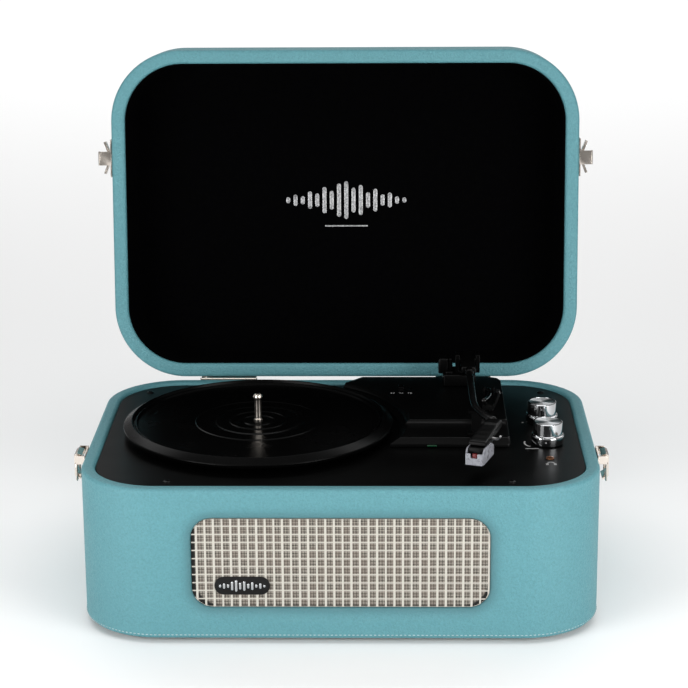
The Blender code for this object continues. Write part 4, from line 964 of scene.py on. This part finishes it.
def makeLid():
    # A profile of (inset, height) carried round the outline from the hollow's floor, over the rim, up the
    # wall and over the round top edge; each end is closed by a flat face.
    values = lidValues
    width, depth = caseSize[0], caseSize[1]
    outline, normal = roundedRectangle(width, depth, caseValues["corner"], 60, 40)
    cornerShare = np.minimum(1.0, 5.0 * np.abs(normal[:, 0] * normal[:, 1]))
    low = caseSize[2] + values["gap"]
    high = low + values["depth"]
    wall, rim, crown = values["wall"], values["rim"], values["crown"]
    floorHeight = high - values["top"]
    t = np.linspace(0, 1, 9)[1:-1, None]
    profile = np.concatenate([
        [(wall + 30, floorHeight), (wall + 2, floorHeight), (wall, floorHeight - 2)],
        [(wall, floorHeight - 15), (wall, low + 8), (wall, low + 4)],
        quarter(wall, low + rim, wall - rim, low, 6, False),
        [(wall / 2, low)],
        quarter(rim, low, 0.0, low + rim, 6, True),
        np.concatenate([np.zeros((7, 1)), low + rim + (high - crown - low - rim) * t], 1),
        quarter(0.0, high - crown, crown, high, 9, False),
        [(crown + 5, high), (crown + 30, high)]])
    inset, heights = profile[:, 0][:, None], profile[:, 1][:, None]
    rimShare = np.exp(-((heights - low) / 6.0) ** 2) * (inset < wall - 0.5)
    topShare = np.exp(-((heights - high) / 6.0) ** 2)
    crease = creaseWave(len(outline), values["wrinkle"], 0.7)[None] * cornerShare[None]
    rise = crease * (topShare - rimShare)
    points = carried(outline, normal, inset, heights + rise)
    rows, count = points.shape[:2]
    makePiece("lid_leather", points, gridFaces(rows, count, wrapColumns=True), finishes["leather"], "lid",
              "lid_shell", "leatherette", caps=endCaps(rows, count), smooth=50.0, lid=True)

    # the lining: a tray whose floor lies on the lid's, with a rounded turn between floor and side
    skin, gap = 1.0, 0.35
    edge = low + values["liningDrop"]
    top = floorHeight - gap
    profile = np.concatenate([
        [(wall + gap, edge), (wall + gap, top - 0.6), (wall + gap + 0.6, top), (wall + 60, top)],
        [(wall + 60, top - skin)],
        quarter(wall + gap + skin + 5, top - skin, wall + gap + skin, top - skin - 5, 6, True),
        [(wall + gap + skin, edge + 0.5), (wall + gap + skin - 0.4, edge)]])
    inset, heights = profile[:, 0][:, None], profile[:, 1][:, None]
    inset = np.minimum(inset, caseValues["corner"] - 2)
    points = carried(outline, normal, inset, heights)
    split = 4
    faces = np.concatenate([gridFaces(split, count, wrapColumns=True),
                            gridFaces(len(profile) - split, count, wrapColumns=True, start=split * count)])
    join = np.arange(count)
    lastRow = (len(profile) - 1) * count
    closing = np.stack([join, (join + 1) % count, lastRow + (join + 1) % count, lastRow + join], -1)
    caps = [range((split - 1) * count, split * count), range(split * count, (split + 1) * count)]
    makePiece("lid_flock_lining", points, np.concatenate([faces, closing]), finishes["felt"], "lid",
              "lid_lining", "black_felt", caps=caps, smooth=50.0, lid=True)
    return top - skin


emblemValues = {"bars": (0.16, 0.3, 0.22, 0.46, 0.36, 0.7, 0.5, 0.88, 1.0, 0.66, 0.8, 0.42, 0.6, 0.3, 0.4,
                         0.2, 0.14),
                "width": 92.0, "tallest": 30.0, "centre": 131.0, "barWidth": 3.1, "barLift": 3.0,
                "ruleWidth": 1.1, "ruleLength": 34.0, "ruleDrop": 17.5}


def makeEmblem(floorHeight):
    # A foil print of level bars with a thin rule under them, a hair proud of the lining.
    values = emblemValues
    heights = np.array(values["bars"])
    # a place above the hinge side of the opened lid is that far forward of it in the shut lid
    centreY = caseSize[1] / 2 - values["centre"]
    parts = []
    spots = np.linspace(-values["width"] / 2, values["width"] / 2, len(heights))
    shapes = [capsuleOutline(x, values["barLift"], values["barWidth"] / 2, share * values["tallest"] / 2)
              for x, share in zip(spots, heights)]
    rule = capsuleOutline(0.0, 0.0, values["ruleWidth"] / 2, values["ruleLength"] / 2)
    shapes.append(np.stack([rule[:, 1], -values["ruleDrop"] - rule[:, 0]], -1))
    for shape in shapes:
        # the print is read with the lid open, so up is towards the front of the shut lid
        centre = shape.mean(0)
        rings = np.stack([shape, centre + (shape - centre) * 0.93, np.broadcast_to(centre, shape.shape)])
        height = floorHeight - np.array([0.02, 0.1, 0.1])
        grid = np.stack([rings[..., 0], centreY - rings[..., 1],
                         np.broadcast_to(height[:, None], rings.shape[:2])], -1)
        parts.append((grid, gridFaces(3, len(shape), wrapColumns=True)))
    joined("lid_foil_emblem", parts, finishes["foil"], "lid", lid=True)


liningFloor = makeLid()
makeEmblem(liningFloor)
print("lid ready")

for side in ("left", "right"):
    for node, body in ((f"hinge_base_leaf_{side}", "base"), (f"hinge_lid_leaf_{side}", "lid"),
                       (f"hinge_pin_{side}", "base")):
        softened(node, finishes["nickel"], body, 0.15, 1)
    softened(f"latch_keeper_{side}", finishes["nickel"], "lid", 0.22, 2)
    softened(f"latch_plate_{side}", finishes["nickel"], "base", 0.2, 2)
    softened(f"latch_lever_{side}", finishes["nickel"], f"lever_{side}_body", 0.25, 2)
    softened(f"latch_bail_{side}", finishes["nickel"], f"bail_{side}_body", 0.1, 1,
             angle=60.0)


rivetValues = {"rise": 0.55, "sunk": 0.2, "hinge": 1.8, "keeper": 1.3, "plate": 1.2, "hingeApart": 14.0,
               "baseRows": (5.0, 14.0), "lidRows": (7.0, 17.0), "keeperApart": 11.0, "keeperHeight": 127.5,
               "plateApart": 9.4, "plateHeight": 92.2, "hingeFace": 1.3, "keeperFace": 1.25,
               "plateFace": 1.05}


def rivets(name, places, outward, body, radius, lid=False):
    # Low domes on short feet that are sunk into the metal, all in one piece.
    outward = np.asarray(outward, float)
    parts = []
    for place in places:
        dome = domeGrid(np.asarray(place), outward, radius, rivetValues["rise"], 6, 20)
        grid = np.concatenate([dome[:1] - rivetValues["sunk"] * outward, dome])
        parts.append((grid, gridFaces(7, 20, wrapColumns=True)))
    joined(name, parts, finishes["nickel"], body, slot="nickel", lid=lid)


def makeRivets():
    values = rivetValues
    backFace = caseSize[1] / 2 + values["hingeFace"]
    for side, sign in (("left", -1.0), ("right", 1.0)):
        low, high = nodeBox(f"hinge_base_leaf_{side}")
        columns = [(low[0] + high[0]) / 2 + dx for dx in (-values["hingeApart"], values["hingeApart"])]
        spots = [(x, backFace, low[2] + dz) for x in columns for dz in values["baseRows"]]
        rivets(f"hinge_rivets_base_{side}", spots, (0, 1, 0), "base", values["hinge"])
        top = caseSize[2] + lidValues["gap"]
        spots = [(x, backFace, top + dz) for x in columns for dz in values["lidRows"]]
        rivets(f"hinge_rivets_lid_{side}", spots, (0, 1, 0), "lid", values["hinge"], lid=True)
        latchY, wall = middle(f"latch_plate_{side}")[1], caseSize[0] / 2
        spots = [(sign * (wall + values["keeperFace"]), latchY + dy, values["keeperHeight"])
                 for dy in (-values["keeperApart"], values["keeperApart"])]
        rivets(f"keeper_rivets_{side}", spots, (sign, 0, 0), "lid", values["keeper"], lid=True)
        spots = [(sign * (wall + values["plateFace"]), latchY + dy, values["plateHeight"])
                 for dy in (-values["plateApart"], values["plateApart"])]
        rivets(f"latch_rivets_{side}", spots, (sign, 0, 0), "base", values["plate"])


makeRivets()
print("hinges and latches ready")

deckTop = nodeBox("deck_plate")[1][2]
platterAt = jointPlace("platter_spin")


def paint(node, finish):
    # A new material on a CAD node that stays.
    frame["nodes"][node].data.materials.clear()
    frame["nodes"][node].data.materials.append(finish)


paint("deck_plate", finishes["deck"])
screwPlaces = [(-117.4, -106.0), (117.4, -106.0), (-150.0, 98.0), (150.0, 98.0)]


def makeScrews():
    # Pan heads with a cross: the dome's height drops where a point lies inside either slot.
    radius, steps, rings = 2.9, 72, 22
    angle = np.linspace(0, 2 * pi, steps, endpoint=False)
    parts = []
    for k, (x, y) in enumerate(screwPlaces):
        r = np.linspace(radius, 0, rings)[:, None]
        dx, dy = r * np.cos(angle), r * np.sin(angle)
        dome = 1.1 * np.sqrt(np.clip(1 - (r / radius) ** 2.6, 0, 1)) * np.ones_like(dx)
        lean = 0.5 + k
        u = dx * math.cos(lean) + dy * math.sin(lean)
        v = -dx * math.sin(lean) + dy * math.cos(lean)
        inSlot = ((np.abs(u) < 0.42) & (np.abs(v) < 1.5)) | ((np.abs(v) < 0.42) & (np.abs(u) < 1.5))
        grid = np.stack([x + dx, y + dy, deckTop + dome - 0.9 * inSlot], -1)
        skirt = grid[:1] - [0, 0, 0.6]
        parts.append((np.concatenate([skirt, grid]), gridFaces(rings + 1, steps, wrapColumns=True)))
    joined("deck_screws", parts, finishes["satin"], "base", smooth=25.0)


makeScrews()

platterValues = {"grooves": ((44.0, 46.0, 0.5), (29.5, 34.5, -0.7), (19.5, 21.5, 0.6), (9.5, 13.0, -0.8)),
                 "lip": 117.5, "mat": 114.5}


def makePlatter():
    # The platter's turned profile, with ridges and grooves as smooth bumps in its height.
    rim = (nodeBox("platter")[1][0] - nodeBox("platter")[0][0]) / 2
    mat, lip = platterValues["mat"], platterValues["lip"]
    outer = roundedCorners([(86.6, mat), (87.2, mat), (87.9, mat + 1.6), (89.2, mat + 1.6),
                            (89.7, mat + 0.9), (90.5, mat + 0.9), (91.1, lip), (92.0, lip),
                            (97.6, lip - 3.4), (rim, lip - 4.2), (rim - 0.5, 111.2), (95.4, 111.2),
                            (95.0, 112.6), (63.0, 112.6), (62.0, 112.0), (62.0, 108.2), (59.6, 108.2),
                            (59.6, 112.6), (8.0, 112.6), (8.0, 107.3), (3.0, 107.3),
                            (3.0, mat - 0.2)], 0.35, 5)
    radii = np.linspace(3.4, 86.4, 320)
    heights = np.full(len(radii), mat)
    for inner, outside, rise in platterValues["grooves"]:
        share = np.clip((radii - inner) / (outside - inner), 0, 1)
        heights = heights + rise * np.sin(pi * share) ** 2
    mound = 0.5 * np.clip(1 - ((radii - 5.0) / 4.0) ** 2, 0, 1)
    profile = np.concatenate([np.stack([radii, heights + mound], -1), outer])
    steps = 160
    points = turnedGrid(profile, (*platterAt[:2], 0.0), np.linspace(0, 2 * pi, steps, endpoint=False))
    # three small dimples near the edge
    for spot in (2.9, 4.1, 5.6):
        near = np.hypot(points[..., 0] - platterAt[0] - 80 * math.cos(spot),
                        points[..., 1] - platterAt[1] - 80 * math.sin(spot))
        points[..., 2] -= 0.5 * np.exp(-(near / 1.6) ** 4) * (profile[:, 1:] > mat - 0.2)
    makePiece("platter_turned", points, gridFaces(len(profile), steps, wrapRows=True, wrapColumns=True),
              finishes["platter"], "platter_body", "platter", "gloss_black", smooth=50.0)


makePlatter()
spindleProfile = [(0, 135.2), (1.9, 135.1), (3.0, 134.2), (3.45, 132.8), (3.4, 131.6), (2.7, 130.6),
                  (2.7, 116.4), (3.5, 116.2), (3.5, 114.9), (2.7, 114.8), (2.7, 84), (0, 84)]
lathe("spindle_turned", spindleProfile, (*platterAt[:2], 0.0), finishes["nickel"], "base", 48, 0.25,
      replaces="spindle", slot="nickel")
for node, finish in (("motor", "steel"), ("motor_pulley", "brass"), ("drive_belt", "rubber"),
                     ("volume_pot", "steel"), ("mode_switch", "steel"), ("bottom_panel", "board"),
                     ("speaker_baffle", "board"), ("main_board", "circuit"), ("socket_plate", "deck"),
                     ("dc_socket", "satin"), ("rca_sockets", "satin"), ("line_in_socket", "nickel")):
    paint(node, finishes[finish])
for side in ("left", "right"):
    paint(f"speaker_frame_{side}", finishes["steel"])
    paint(f"speaker_cone_{side}", finishes["paper"])
print("deck and platter ready")

plateValues = {"bottom": 106.7, "low": 112.4, "high": 115.2, "front": -33.0, "stepFront": -2.2, "arc": 103.0}


def plateOutline(frontY, edge, rounding):
    # The raised plate from above: its left side is an arc round the platter, the other corners are round.
    radius = plateValues["arc"] + edge
    start = math.asin((frontY + edge - platterAt[1]) / radius)
    angle = np.linspace(start, math.radians(55.8), 48)
    arc = np.stack([platterAt[0] + radius * np.cos(angle), platterAt[1] + radius * np.sin(angle)], -1)
    side = edge * 0.15
    rest = np.array([(12.0 + side, 112.0 - side), (110.0, 112.0 - side),
                     (117.5 - side * 0.7, 109.0 - side * 0.7), (120.5 - side, 101.5),
                     (120.5 - side, frontY + edge)])
    corners = np.concatenate([arc[-1:], rest, arc[:1]])
    turned = roundedCorners(corners, (0, 2.0, 3.0, 4.0, 3.0, rounding, 0), 5)
    return np.concatenate([arc[:-1], turned[:-1]])


def plateLevel(name, frontY, offset, low, high, chamfer, drop, replaces=()):
    # Rings of the outline: straight up, over a sloping face, and a rounded turn on to the top.
    levels = np.array([(0.0, low), (0.0, high - drop - 0.5), (0.15, high - drop),
                       (chamfer * 0.5, high - drop * 0.5), (chamfer - 0.5, high - 0.35),
                       (chamfer, high - 0.08), (chamfer + 0.6, high)])
    rings = np.stack([plateOutline(frontY, offset + inset, 2.0) for inset in levels[:, 0]])
    points = lifted(rings, levels[:, 1])
    rows, columns = points.shape[:2]
    makePiece(name, points, gridFaces(rows, columns, wrapColumns=True), finishes["satin"], "base", replaces,
              "black_plastic", caps=endCaps(rows, columns), smooth=35.0)


plateLevel("mechanism_plate_low", plateValues["front"], 0.0, plateValues["bottom"], plateValues["low"], 5.2,
           3.4, "mechanism_plate")
plateLevel("mechanism_plate_high", plateValues["stepFront"], 4.0, plateValues["low"] - 1.0,
           plateValues["high"], 3.2, 2.4)


def box(name, low, high, edge, finish, body, **more):
    # A block with every edge rounded.
    outline = roundedCorners([(low[0], low[1]), (high[0], low[1]), (high[0], high[1]), (low[0], high[1])],
                             min(edge * 1.5, 0.45 * min(high[0] - low[0], high[1] - low[1])), 4, closed=True)
    return slab(name, outline, low[2], high[2], edge, finish, body, **more)


ledLow, ledHigh = nodeBox("power_led")
box("power_led_lens", ledLow, ledHigh - (0.0, 0.0, 0.7), 0.3, finishes["led"], "base", replaces="power_led",
    slot="green_lens")
cueAt = jointPlace("cue_turn")
for k, side in enumerate((-1, 1)):
    at = cueAt[0] + side * 3.4
    box(f"cue_bracket_{k + 1}", (at - 0.8, cueAt[1] - 2.5, 114.9), (at + 0.8, cueAt[1] + 2.5, 120.6), 0.5,
        finishes["matte"], "base")
softened("speed_selector", finishes["gloss"], "selector_body", 0.5, 3)
softened("auto_stop_switch", finishes["gloss"], "auto_stop_body", 0.4, 3)


def numberPrint(name, text, size, at):
    # A number printed a hair above its surface.
    curve = bpy.data.curves.new(name, "FONT")
    curve.body = text
    curve.size = size * mm
    curve.align_x, curve.align_y = "CENTER", "CENTER"
    curve.extrude = 0.02 * mm
    drawn = bpy.data.objects.new(name + "_text", curve)
    bpy.context.scene.collection.objects.link(drawn)
    bpy.context.view_layer.update()
    mesh = bpy.data.meshes.new_from_object(drawn.evaluated_get(bpy.context.evaluated_depsgraph_get()))
    bpy.data.objects.remove(drawn, do_unlink=True)
    mesh.transform(Matrix.Translation(toFrame(at)))
    mesh.name = name
    finishPiece(bpy.data.objects.new(name, mesh), finishes["ink"], "base")


plateTop = plateValues["high"] + 0.04
for text, x in (("33", 36.5), ("45", 43.0), ("78", 49.5)):
    numberPrint(f"speed_number_{text}", text, 3.6, (x, 68.5, plateTop))


def strokePrint(name, paths, halfWidth, height):
    # Printed lines: flat ribbons along paths, centre plus or minus half a width, a hair above the deck.
    parts = []
    for path in paths:
        path = np.asarray(path, float)
        along = np.gradient(path, axis=0)
        along /= np.linalg.norm(along, axis=1)[:, None]
        side = np.stack([-along[:, 1], along[:, 0]], -1) * halfWidth
        section = np.stack([path - side, path + side, path + side, path - side], 1)
        heights = np.broadcast_to(np.array([0.0, 0.0, 0.05, 0.05])[None, :, None] + height,
                                  (*section.shape[:2], 1))
        grid = np.concatenate([section, heights], -1)
        faces = np.concatenate([gridFaces(len(path), 4, wrapColumns=True), [[3, 2, 1, 0]],
                                [np.arange(4) + (len(path) - 1) * 4]])
        parts.append((grid, faces))
    joined(name, parts, finishes["ink"], "base")


knobValues = {
    "volume": {"joint": "volume_turn", "node": "volume_knob", "body": "volume_body", "dot": -100.0},
    "mode": {"joint": "mode_turn", "node": "mode_knob", "body": "mode_body", "dot": 60.0},
}


def makeKnob(which):
    # A turned chrome knob: the skirt, the spun top, whose UV has u round the knob and v along its radius,
    # and a printed mark.
    values = knobValues[which]
    at = jointPlace(values["joint"])
    skirt = [(9.4, 123.2), (9.9, 123.25), (10.35, 122.7), (10.35, 114.2), (10.9, 113.7), (11.5, 113.4),
             (11.75, 112.6), (11.55, 107.1), (2.6, 107.1), (2.6, 98.5), (1.5, 98.5), (1.5, 122.0),
             (9.0, 122.0)]
    lathe(f"{which}_knob_skirt", skirt, (*at[:2], 0.0), finishes["chrome"], values["body"], 96, 0.28,
          replaces=values["node"], slot="chrome", ring=True)
    top = np.array([(9.45, 122.3), (9.45, 123.0), (9.3, 123.1), (8.9, 122.95), (6.0, 122.85), (3.0, 122.75),
                    (0.6, 122.72), (0.0, 122.72)])
    steps = 96
    angle = np.linspace(0, 2 * pi, steps + 1)
    points = turnedGrid(top, (*at[:2], 0.0), angle)
    uv = np.stack(np.broadcast_arrays(angle / (2 * pi), top[:, :1] / 10.0), -1)
    makePiece(f"{which}_knob_spun_top", points, gridFaces(len(top), steps + 1), finishes["spun"],
              values["body"], uv=uv, slot="chrome")
    lean = math.radians(values["dot"])
    outward = np.array([math.cos(lean), math.sin(lean), 0.0])
    dot = np.array([at[0], at[1], 110.4]) + outward * 11.45
    joined(f"{which}_knob_mark", [(domeGrid(dot, outward, 0.75, 0.35, 5, 16),
                                   gridFaces(5, 16, wrapColumns=True))],
           finishes["ink"], values["body"])


makeKnob("volume")
makeKnob("mode")


def makeDeckPrints():
    height = deckTop + 0.03
    x, y = jointPlace("volume_turn")[:2]
    angle = np.linspace(math.radians(150), math.radians(265), 24)
    arc = np.stack([x - 12.2 + 4.2 * np.cos(angle), y + 0.5 + 7.5 * np.sin(angle)], -1)
    bar = np.stack([np.linspace(x - 16.5, x - 7.0, 8), np.full(8, y - 12.0)], -1)
    strokePrint("volume_print", [arc, bar], 0.55, height)
    x, y = jointPlace("mode_turn")[:2]
    strokePrint("mode_print", [[(x - 14.5, y + 1.0), (x - 13.2, y + 1.0)]], 0.65, height)
    x, y = middle("headphone_socket")[:2]
    band = np.linspace(math.radians(12), math.radians(168), 20)
    arch = np.stack([x + 2.7 * np.cos(band), y - 12.6 + 4.6 * np.sin(band)], -1)
    cups = [[(x + s * 2.8, y - 13.8), (x + s * 2.8, y - 10.8)] for s in (-1, 1)]
    strokePrint("headphone_print", [arch], 0.45, height)
    strokePrint("headphone_cups_print", cups, 0.95, height)


makeDeckPrints()
socketAt = middle("headphone_socket")
lathe("headphone_socket_ring", [(0, 93), (1.9, 93), (1.9, 106.9), (2.2, 107.15), (2.9, 107.1),
                                (3.3, 106.75), (3.0, 106.7), (3.0, 101), (5.5, 101), (5.5, 88), (0, 88)],
      (*socketAt[:2], 0.0),
      finishes["brass"], "base", 48, 0.15, replaces="headphone_socket", slot="brass")
print("controls ready")

armValues = {"height": 133.0, "tube": 2.6, "collar": 3.3, "sleeve": 3.2, "headX": 94.0, "headY": -97.6,
             "headTurn": -18.5}
headAngle = math.radians(armValues["headTurn"])


def headFrame(points):
    # Points drawn along the head (side, back, height) turned to where the head points.
    points = np.asarray(points, float)
    c, s = math.cos(headAngle), math.sin(headAngle)
    return np.stack([armValues["headX"] + c * points[..., 0] - s * points[..., 1],
                     armValues["headY"] + s * points[..., 0] + c * points[..., 1], points[..., 2]], -1)


def makeTower():
    box("tower_block", (75.0, 84.0, 115.5), (99.5, 108.0, 124.7), 0.9, finishes["satin"], "base",
        replaces="tonearm_tower", slot="black_plastic")
    box("tower_lift_housing", (71.5, 93.0, 123.0), (79.5, 106.0, 135.0), 1.0, finishes["satin"], "base")
    box("tower_link", (79.0, 95.0, 124.0), (82.4, 105.0, 134.4), 0.7, finishes["satin"], "base")
    pinAt = jointPlace("tonearm_lift")
    turned = np.array([(0.6, 5.35), (3.6, 5.35), (3.9, 5.6), (3.9, 6.3), (3.6, 6.55), (0.6, 6.55)])
    around = np.linspace(0, 2 * pi, 40, endpoint=False)
    washers = []
    for end in (-1, 1):
        r, across = turned[:, 0][:, None], turned[:, 1][:, None]
        grid = np.stack([np.broadcast_to(pinAt[0] + end * across, (6, 40)), pinAt[1] + r * np.cos(around),
                         pinAt[2] + r * np.sin(around)], -1)
        washers.append((grid, gridFaces(6, 40, wrapRows=True, wrapColumns=True)))
    joined("pivot_washers", washers, finishes["satin"], "arm_body")
    box("tower_cap", (77.0, 87.0, 124.2), (82.4, 105.0, 126.4), 0.6, finishes["satin"], "base")
    softened("tonearm_turret", finishes["satin"], "turret_body", 0.35, 2)
    softened("arm_rest", finishes["satin"], "base", 0.4, 2)
    softened("arm_clip", finishes["satin"], "clip_body", 0.4, 2)


def makeArm():
    low, high = nodeBox("arm_block")
    x = (low[0] + high[0]) / 2
    corners = [(low[1], low[2] + 1.2), (low[1] + 1.0, low[2]), (high[1], low[2]), (high[1], high[2] - 1.5),
               (high[1] - 3.0, high[2]), (low[1] + 9.0, high[2]), (low[1], high[2] - 2.2)]
    outline = roundedCorners(corners, 1.2, 4, closed=True)

    def sideways(points):
        return np.stack([x - 5.3 + points[..., 2], points[..., 0], points[..., 1]], -1)

    slab("arm_rear_block", outline, 0.0, 10.6, 1.0, finishes["satin"], "arm_body", frameOf=sideways,
         replaces="arm_block", slot="black_plastic")
    z = armValues["height"]
    path = curveThrough([(94.1, 69.8, z), (94.1, 50.0, z), (94.2, 25.0, z), (94.3, 2.0, z), (94.7, -14.0, z),
                         (96.8, -28.0, z), (101.2, -42.0, z), (106.0, -52.4, z)], 14)
    tube("arm_tube_smooth", path, armValues["tube"], finishes["painted"], "arm_body", 28,
         replaces="arm_tube", slot="gloss_black")
    collar = curveThrough([(104.3, -49.6, z), (105.0, -50.8, z), (105.8, -52.3, z), (106.4, -53.4, z)], 4)
    tube("arm_head_collar", collar, armValues["collar"], finishes["painted"], "arm_body", 28)
    sleeve = np.stack([np.full(8, 94.15), np.linspace(68.6, 62.0, 8), np.full(8, z)], -1)
    tube("arm_rear_sleeve", sleeve, armValues["sleeve"], finishes["painted"], "arm_body", 28)


def makeHead():
    # The headshell: cross-sections along its length, each a rounded box whose width, top and bottom follow
    # smooth curves of the distance from its front edge.
    back = np.concatenate([[0.0, 0.15, 0.6, 1.4], np.linspace(3.0, 42.0, 22), [43.4, 44.2, 44.6]])
    top = np.interp(back, [0, 0.6, 2, 29, 31, 33, 42, 44.6],
                    [131.6, 132.5, 132.8, 135.0, 135.1, 135.9, 135.9, 134.6])
    bottom = np.interp(back, [0, 1.4, 36, 41, 44.6], [129.9, 129.25, 129.25, 129.3, 131.0])
    half = np.interp(back, [0, 0.6, 2, 30, 33, 42, 44.6], [5.9, 6.2, 6.3, 5.7, 5.6, 5.2, 4.2])
    angle = np.linspace(0, 2 * pi, 48, endpoint=False) + pi / 48
    power = 0.28
    cx = np.sign(np.cos(angle)) * np.abs(np.cos(angle)) ** power
    cz = np.sign(np.sin(angle)) * np.abs(np.sin(angle)) ** power
    middleZ, halfZ = (top + bottom) / 2, (top - bottom) / 2
    points = np.stack([half[:, None] * cx, np.broadcast_to(back[:, None], (len(back), 48)),
                       middleZ[:, None] + halfZ[:, None] * cz], -1)
    grip = (points[..., 2] > middleZ[:, None]) & (np.abs(points[..., 0]) < 4.4)
    ribs = 0.22 * np.sin(points[..., 1] * 2.6) * ((points[..., 1] > 6) & (points[..., 1] < 27))
    points[..., 2] += np.where(grip, ribs * 0.35, 0.0)
    makePiece("headshell_moulded", headFrame(points), gridFaces(len(back), 48, wrapColumns=True),
              finishes["satin"], "arm_body", "headshell", "black_plastic", caps=endCaps(len(back), 48))
    spots = [(5.0, 15.0, 130.9), (8.5, 14.2, 131.0), (11.5, 12.6, 131.9), (13.2, 11.2, 134.2)]
    lift = curveThrough(spots, 8)
    tube("finger_lift", headFrame(lift), np.linspace(1.1, 0.8, len(lift)), finishes["steel"], "arm_body", 16)


def headBox(name, low, high, edge, finish, **more):
    # A rounded block drawn in the head's own frame.
    return box(name, low, high, edge, finish, "arm_body", frameOf=headFrame, **more)


def makeCartridge():
    headBox("cartridge_body", (-5.2, -4.1, 121.3), (5.2, 20.4, 128.9), 0.6, finishes["satin"],
            replaces="cartridge", slot="black_plastic")
    headBox("stylus_holder", (-3.0, -5.0, 119.55), (3.0, 11.9, 121.0), 0.4, finishes["red"],
            replaces="stylus", slot="red_plastic")
    headBox("stylus_grip", (-1.8, -6.5, 119.55), (1.8, -4.4, 125.6), 0.45, finishes["red"])
    for k, side in enumerate((-3.0, -1.0, 1.0, 3.0)):
        wireRoute = curveThrough([(side, 20.0, 124.5), (side * 0.9, 24.0, 125.5), (side * 0.5, 30.0, 127.8),
                                  (side * 0.3, 34.0, 128.9)], 6)
        tube(f"cartridge_lead_{k + 1}", headFrame(wireRoute), 0.3, finishes["red" if k == 0 else "gloss"],
             "arm_body", 8)


def makeGuard():
    # The slip-on guard: a thin wall carried round a U in plan, whose top edge follows the cartridge: high at
    # the sides, low in front with a notch, on a floor as wide as the U.
    outer, wall = 6.5, 0.9
    front, back = -8.3, 18.7
    run = np.concatenate([np.stack([np.full(20, -1.0), np.linspace(1, 0.12, 20)], -1),
                          np.stack([np.linspace(-0.9, 0.9, 37), np.zeros(37)], -1),
                          np.stack([np.full(20, 1.0), np.linspace(0.12, 1, 20)], -1)])
    x = run[:, 0] * outer
    y = front + run[:, 1] * (back - front)
    inward = np.where(np.abs(run[:, 0]) == 1.0, 0.0, 1.0)
    dx = np.where(np.abs(run[:, 0]) == 1.0, -np.sign(run[:, 0]) * wall, 0.0)
    frontTop = np.where(np.abs(x) < 2.3, 122.9, 126.2)
    sideTop = np.interp(y, [front, front + 5, back - 7, back], [126.2, 128.8, 128.8, 125.2])
    top = np.where(inward == 1.0, frontTop, sideTop)
    bottom = 118.0
    outside = np.stack([x, y], -1)
    inside = np.stack([x + dx, y + inward * wall], -1)
    low = np.full(len(x), bottom)
    section = [np.concatenate([outside * 0.985 + [0, 0.1], low[:, None]], 1),
               np.concatenate([outside, low[:, None] + 0.35], 1),
               np.concatenate([outside, top[:, None] - 0.3], 1),
               np.concatenate([outside * 0.99 + [0, 0.1], top[:, None]], 1),
               np.concatenate([inside, top[:, None]], 1),
               np.concatenate([inside, low[:, None] + 1.0], 1)]
    section = np.stack(section)
    floorLow = np.stack([np.full(len(x), 0.0), np.clip(y, front + 1, back)], -1)
    floor = np.stack([np.concatenate([floorLow, low[:, None] + 1.0], 1),
                      np.concatenate([floorLow, low[:, None]], 1)])
    points = np.concatenate([section, floor])
    rows, columns = points.shape[:2]
    faces = gridFaces(rows, columns, wrapRows=True)
    ends = [[k * columns for k in range(rows)], [k * columns + columns - 1 for k in range(rows)][::-1]]
    makePiece("stylus_guard_moulded", headFrame(points), faces, finishes["guard"], "arm_body",
              "stylus_guard", "clear_white", caps=ends, smooth=30.0, merge=0.00001)


def makeCueLever():
    path = curveThrough([cueAt + (0, 1.5, 0), cueAt + (0, -10, 0.2), cueAt + (-1.5, -20, 0.8),
                         cueAt + (-4, -32, 2.6), cueAt + (-5.5, -40, 4.6)], 10)
    radii = np.interp(np.arange(len(path)), [0, len(path) * 0.8, len(path) - 1], [1.7, 1.5, 2.0])
    tube("cue_lever_rod", path, radii, finishes["gloss"], "cue_body", 18, replaces="cue_lever",
         slot="gloss_black")
    pin = np.stack([np.linspace(cueAt[0] - 4.6, cueAt[0] + 4.6, 6), np.full(6, cueAt[1]),
                    np.full(6, cueAt[2])], -1)
    tube("cue_lever_pin", pin, 1.0, finishes["matte"], "cue_body", 16)


makeTower()
makeArm()
makeHead()
makeCartridge()
makeGuard()
makeCueLever()
print("tonearm ready")

for number in range(1, 5):
    low, high = nodeBox(f"foot_{number}")
    centre = (low + high) / 2
    foot = [(0, high[2]), (9.4, high[2]), (9.5, -1.8), (8.6, low[2]), (6.2, low[2]), (5.8, low[2] + 0.5),
            (0, low[2] + 0.5)]
    lathe(f"rubber_foot_{number}", foot, (centre[0], centre[1], 0.0), finishes["rubber"], "base", 48, 0.5,
          replaces=f"foot_{number}", slot="rubber")
print("feet ready")
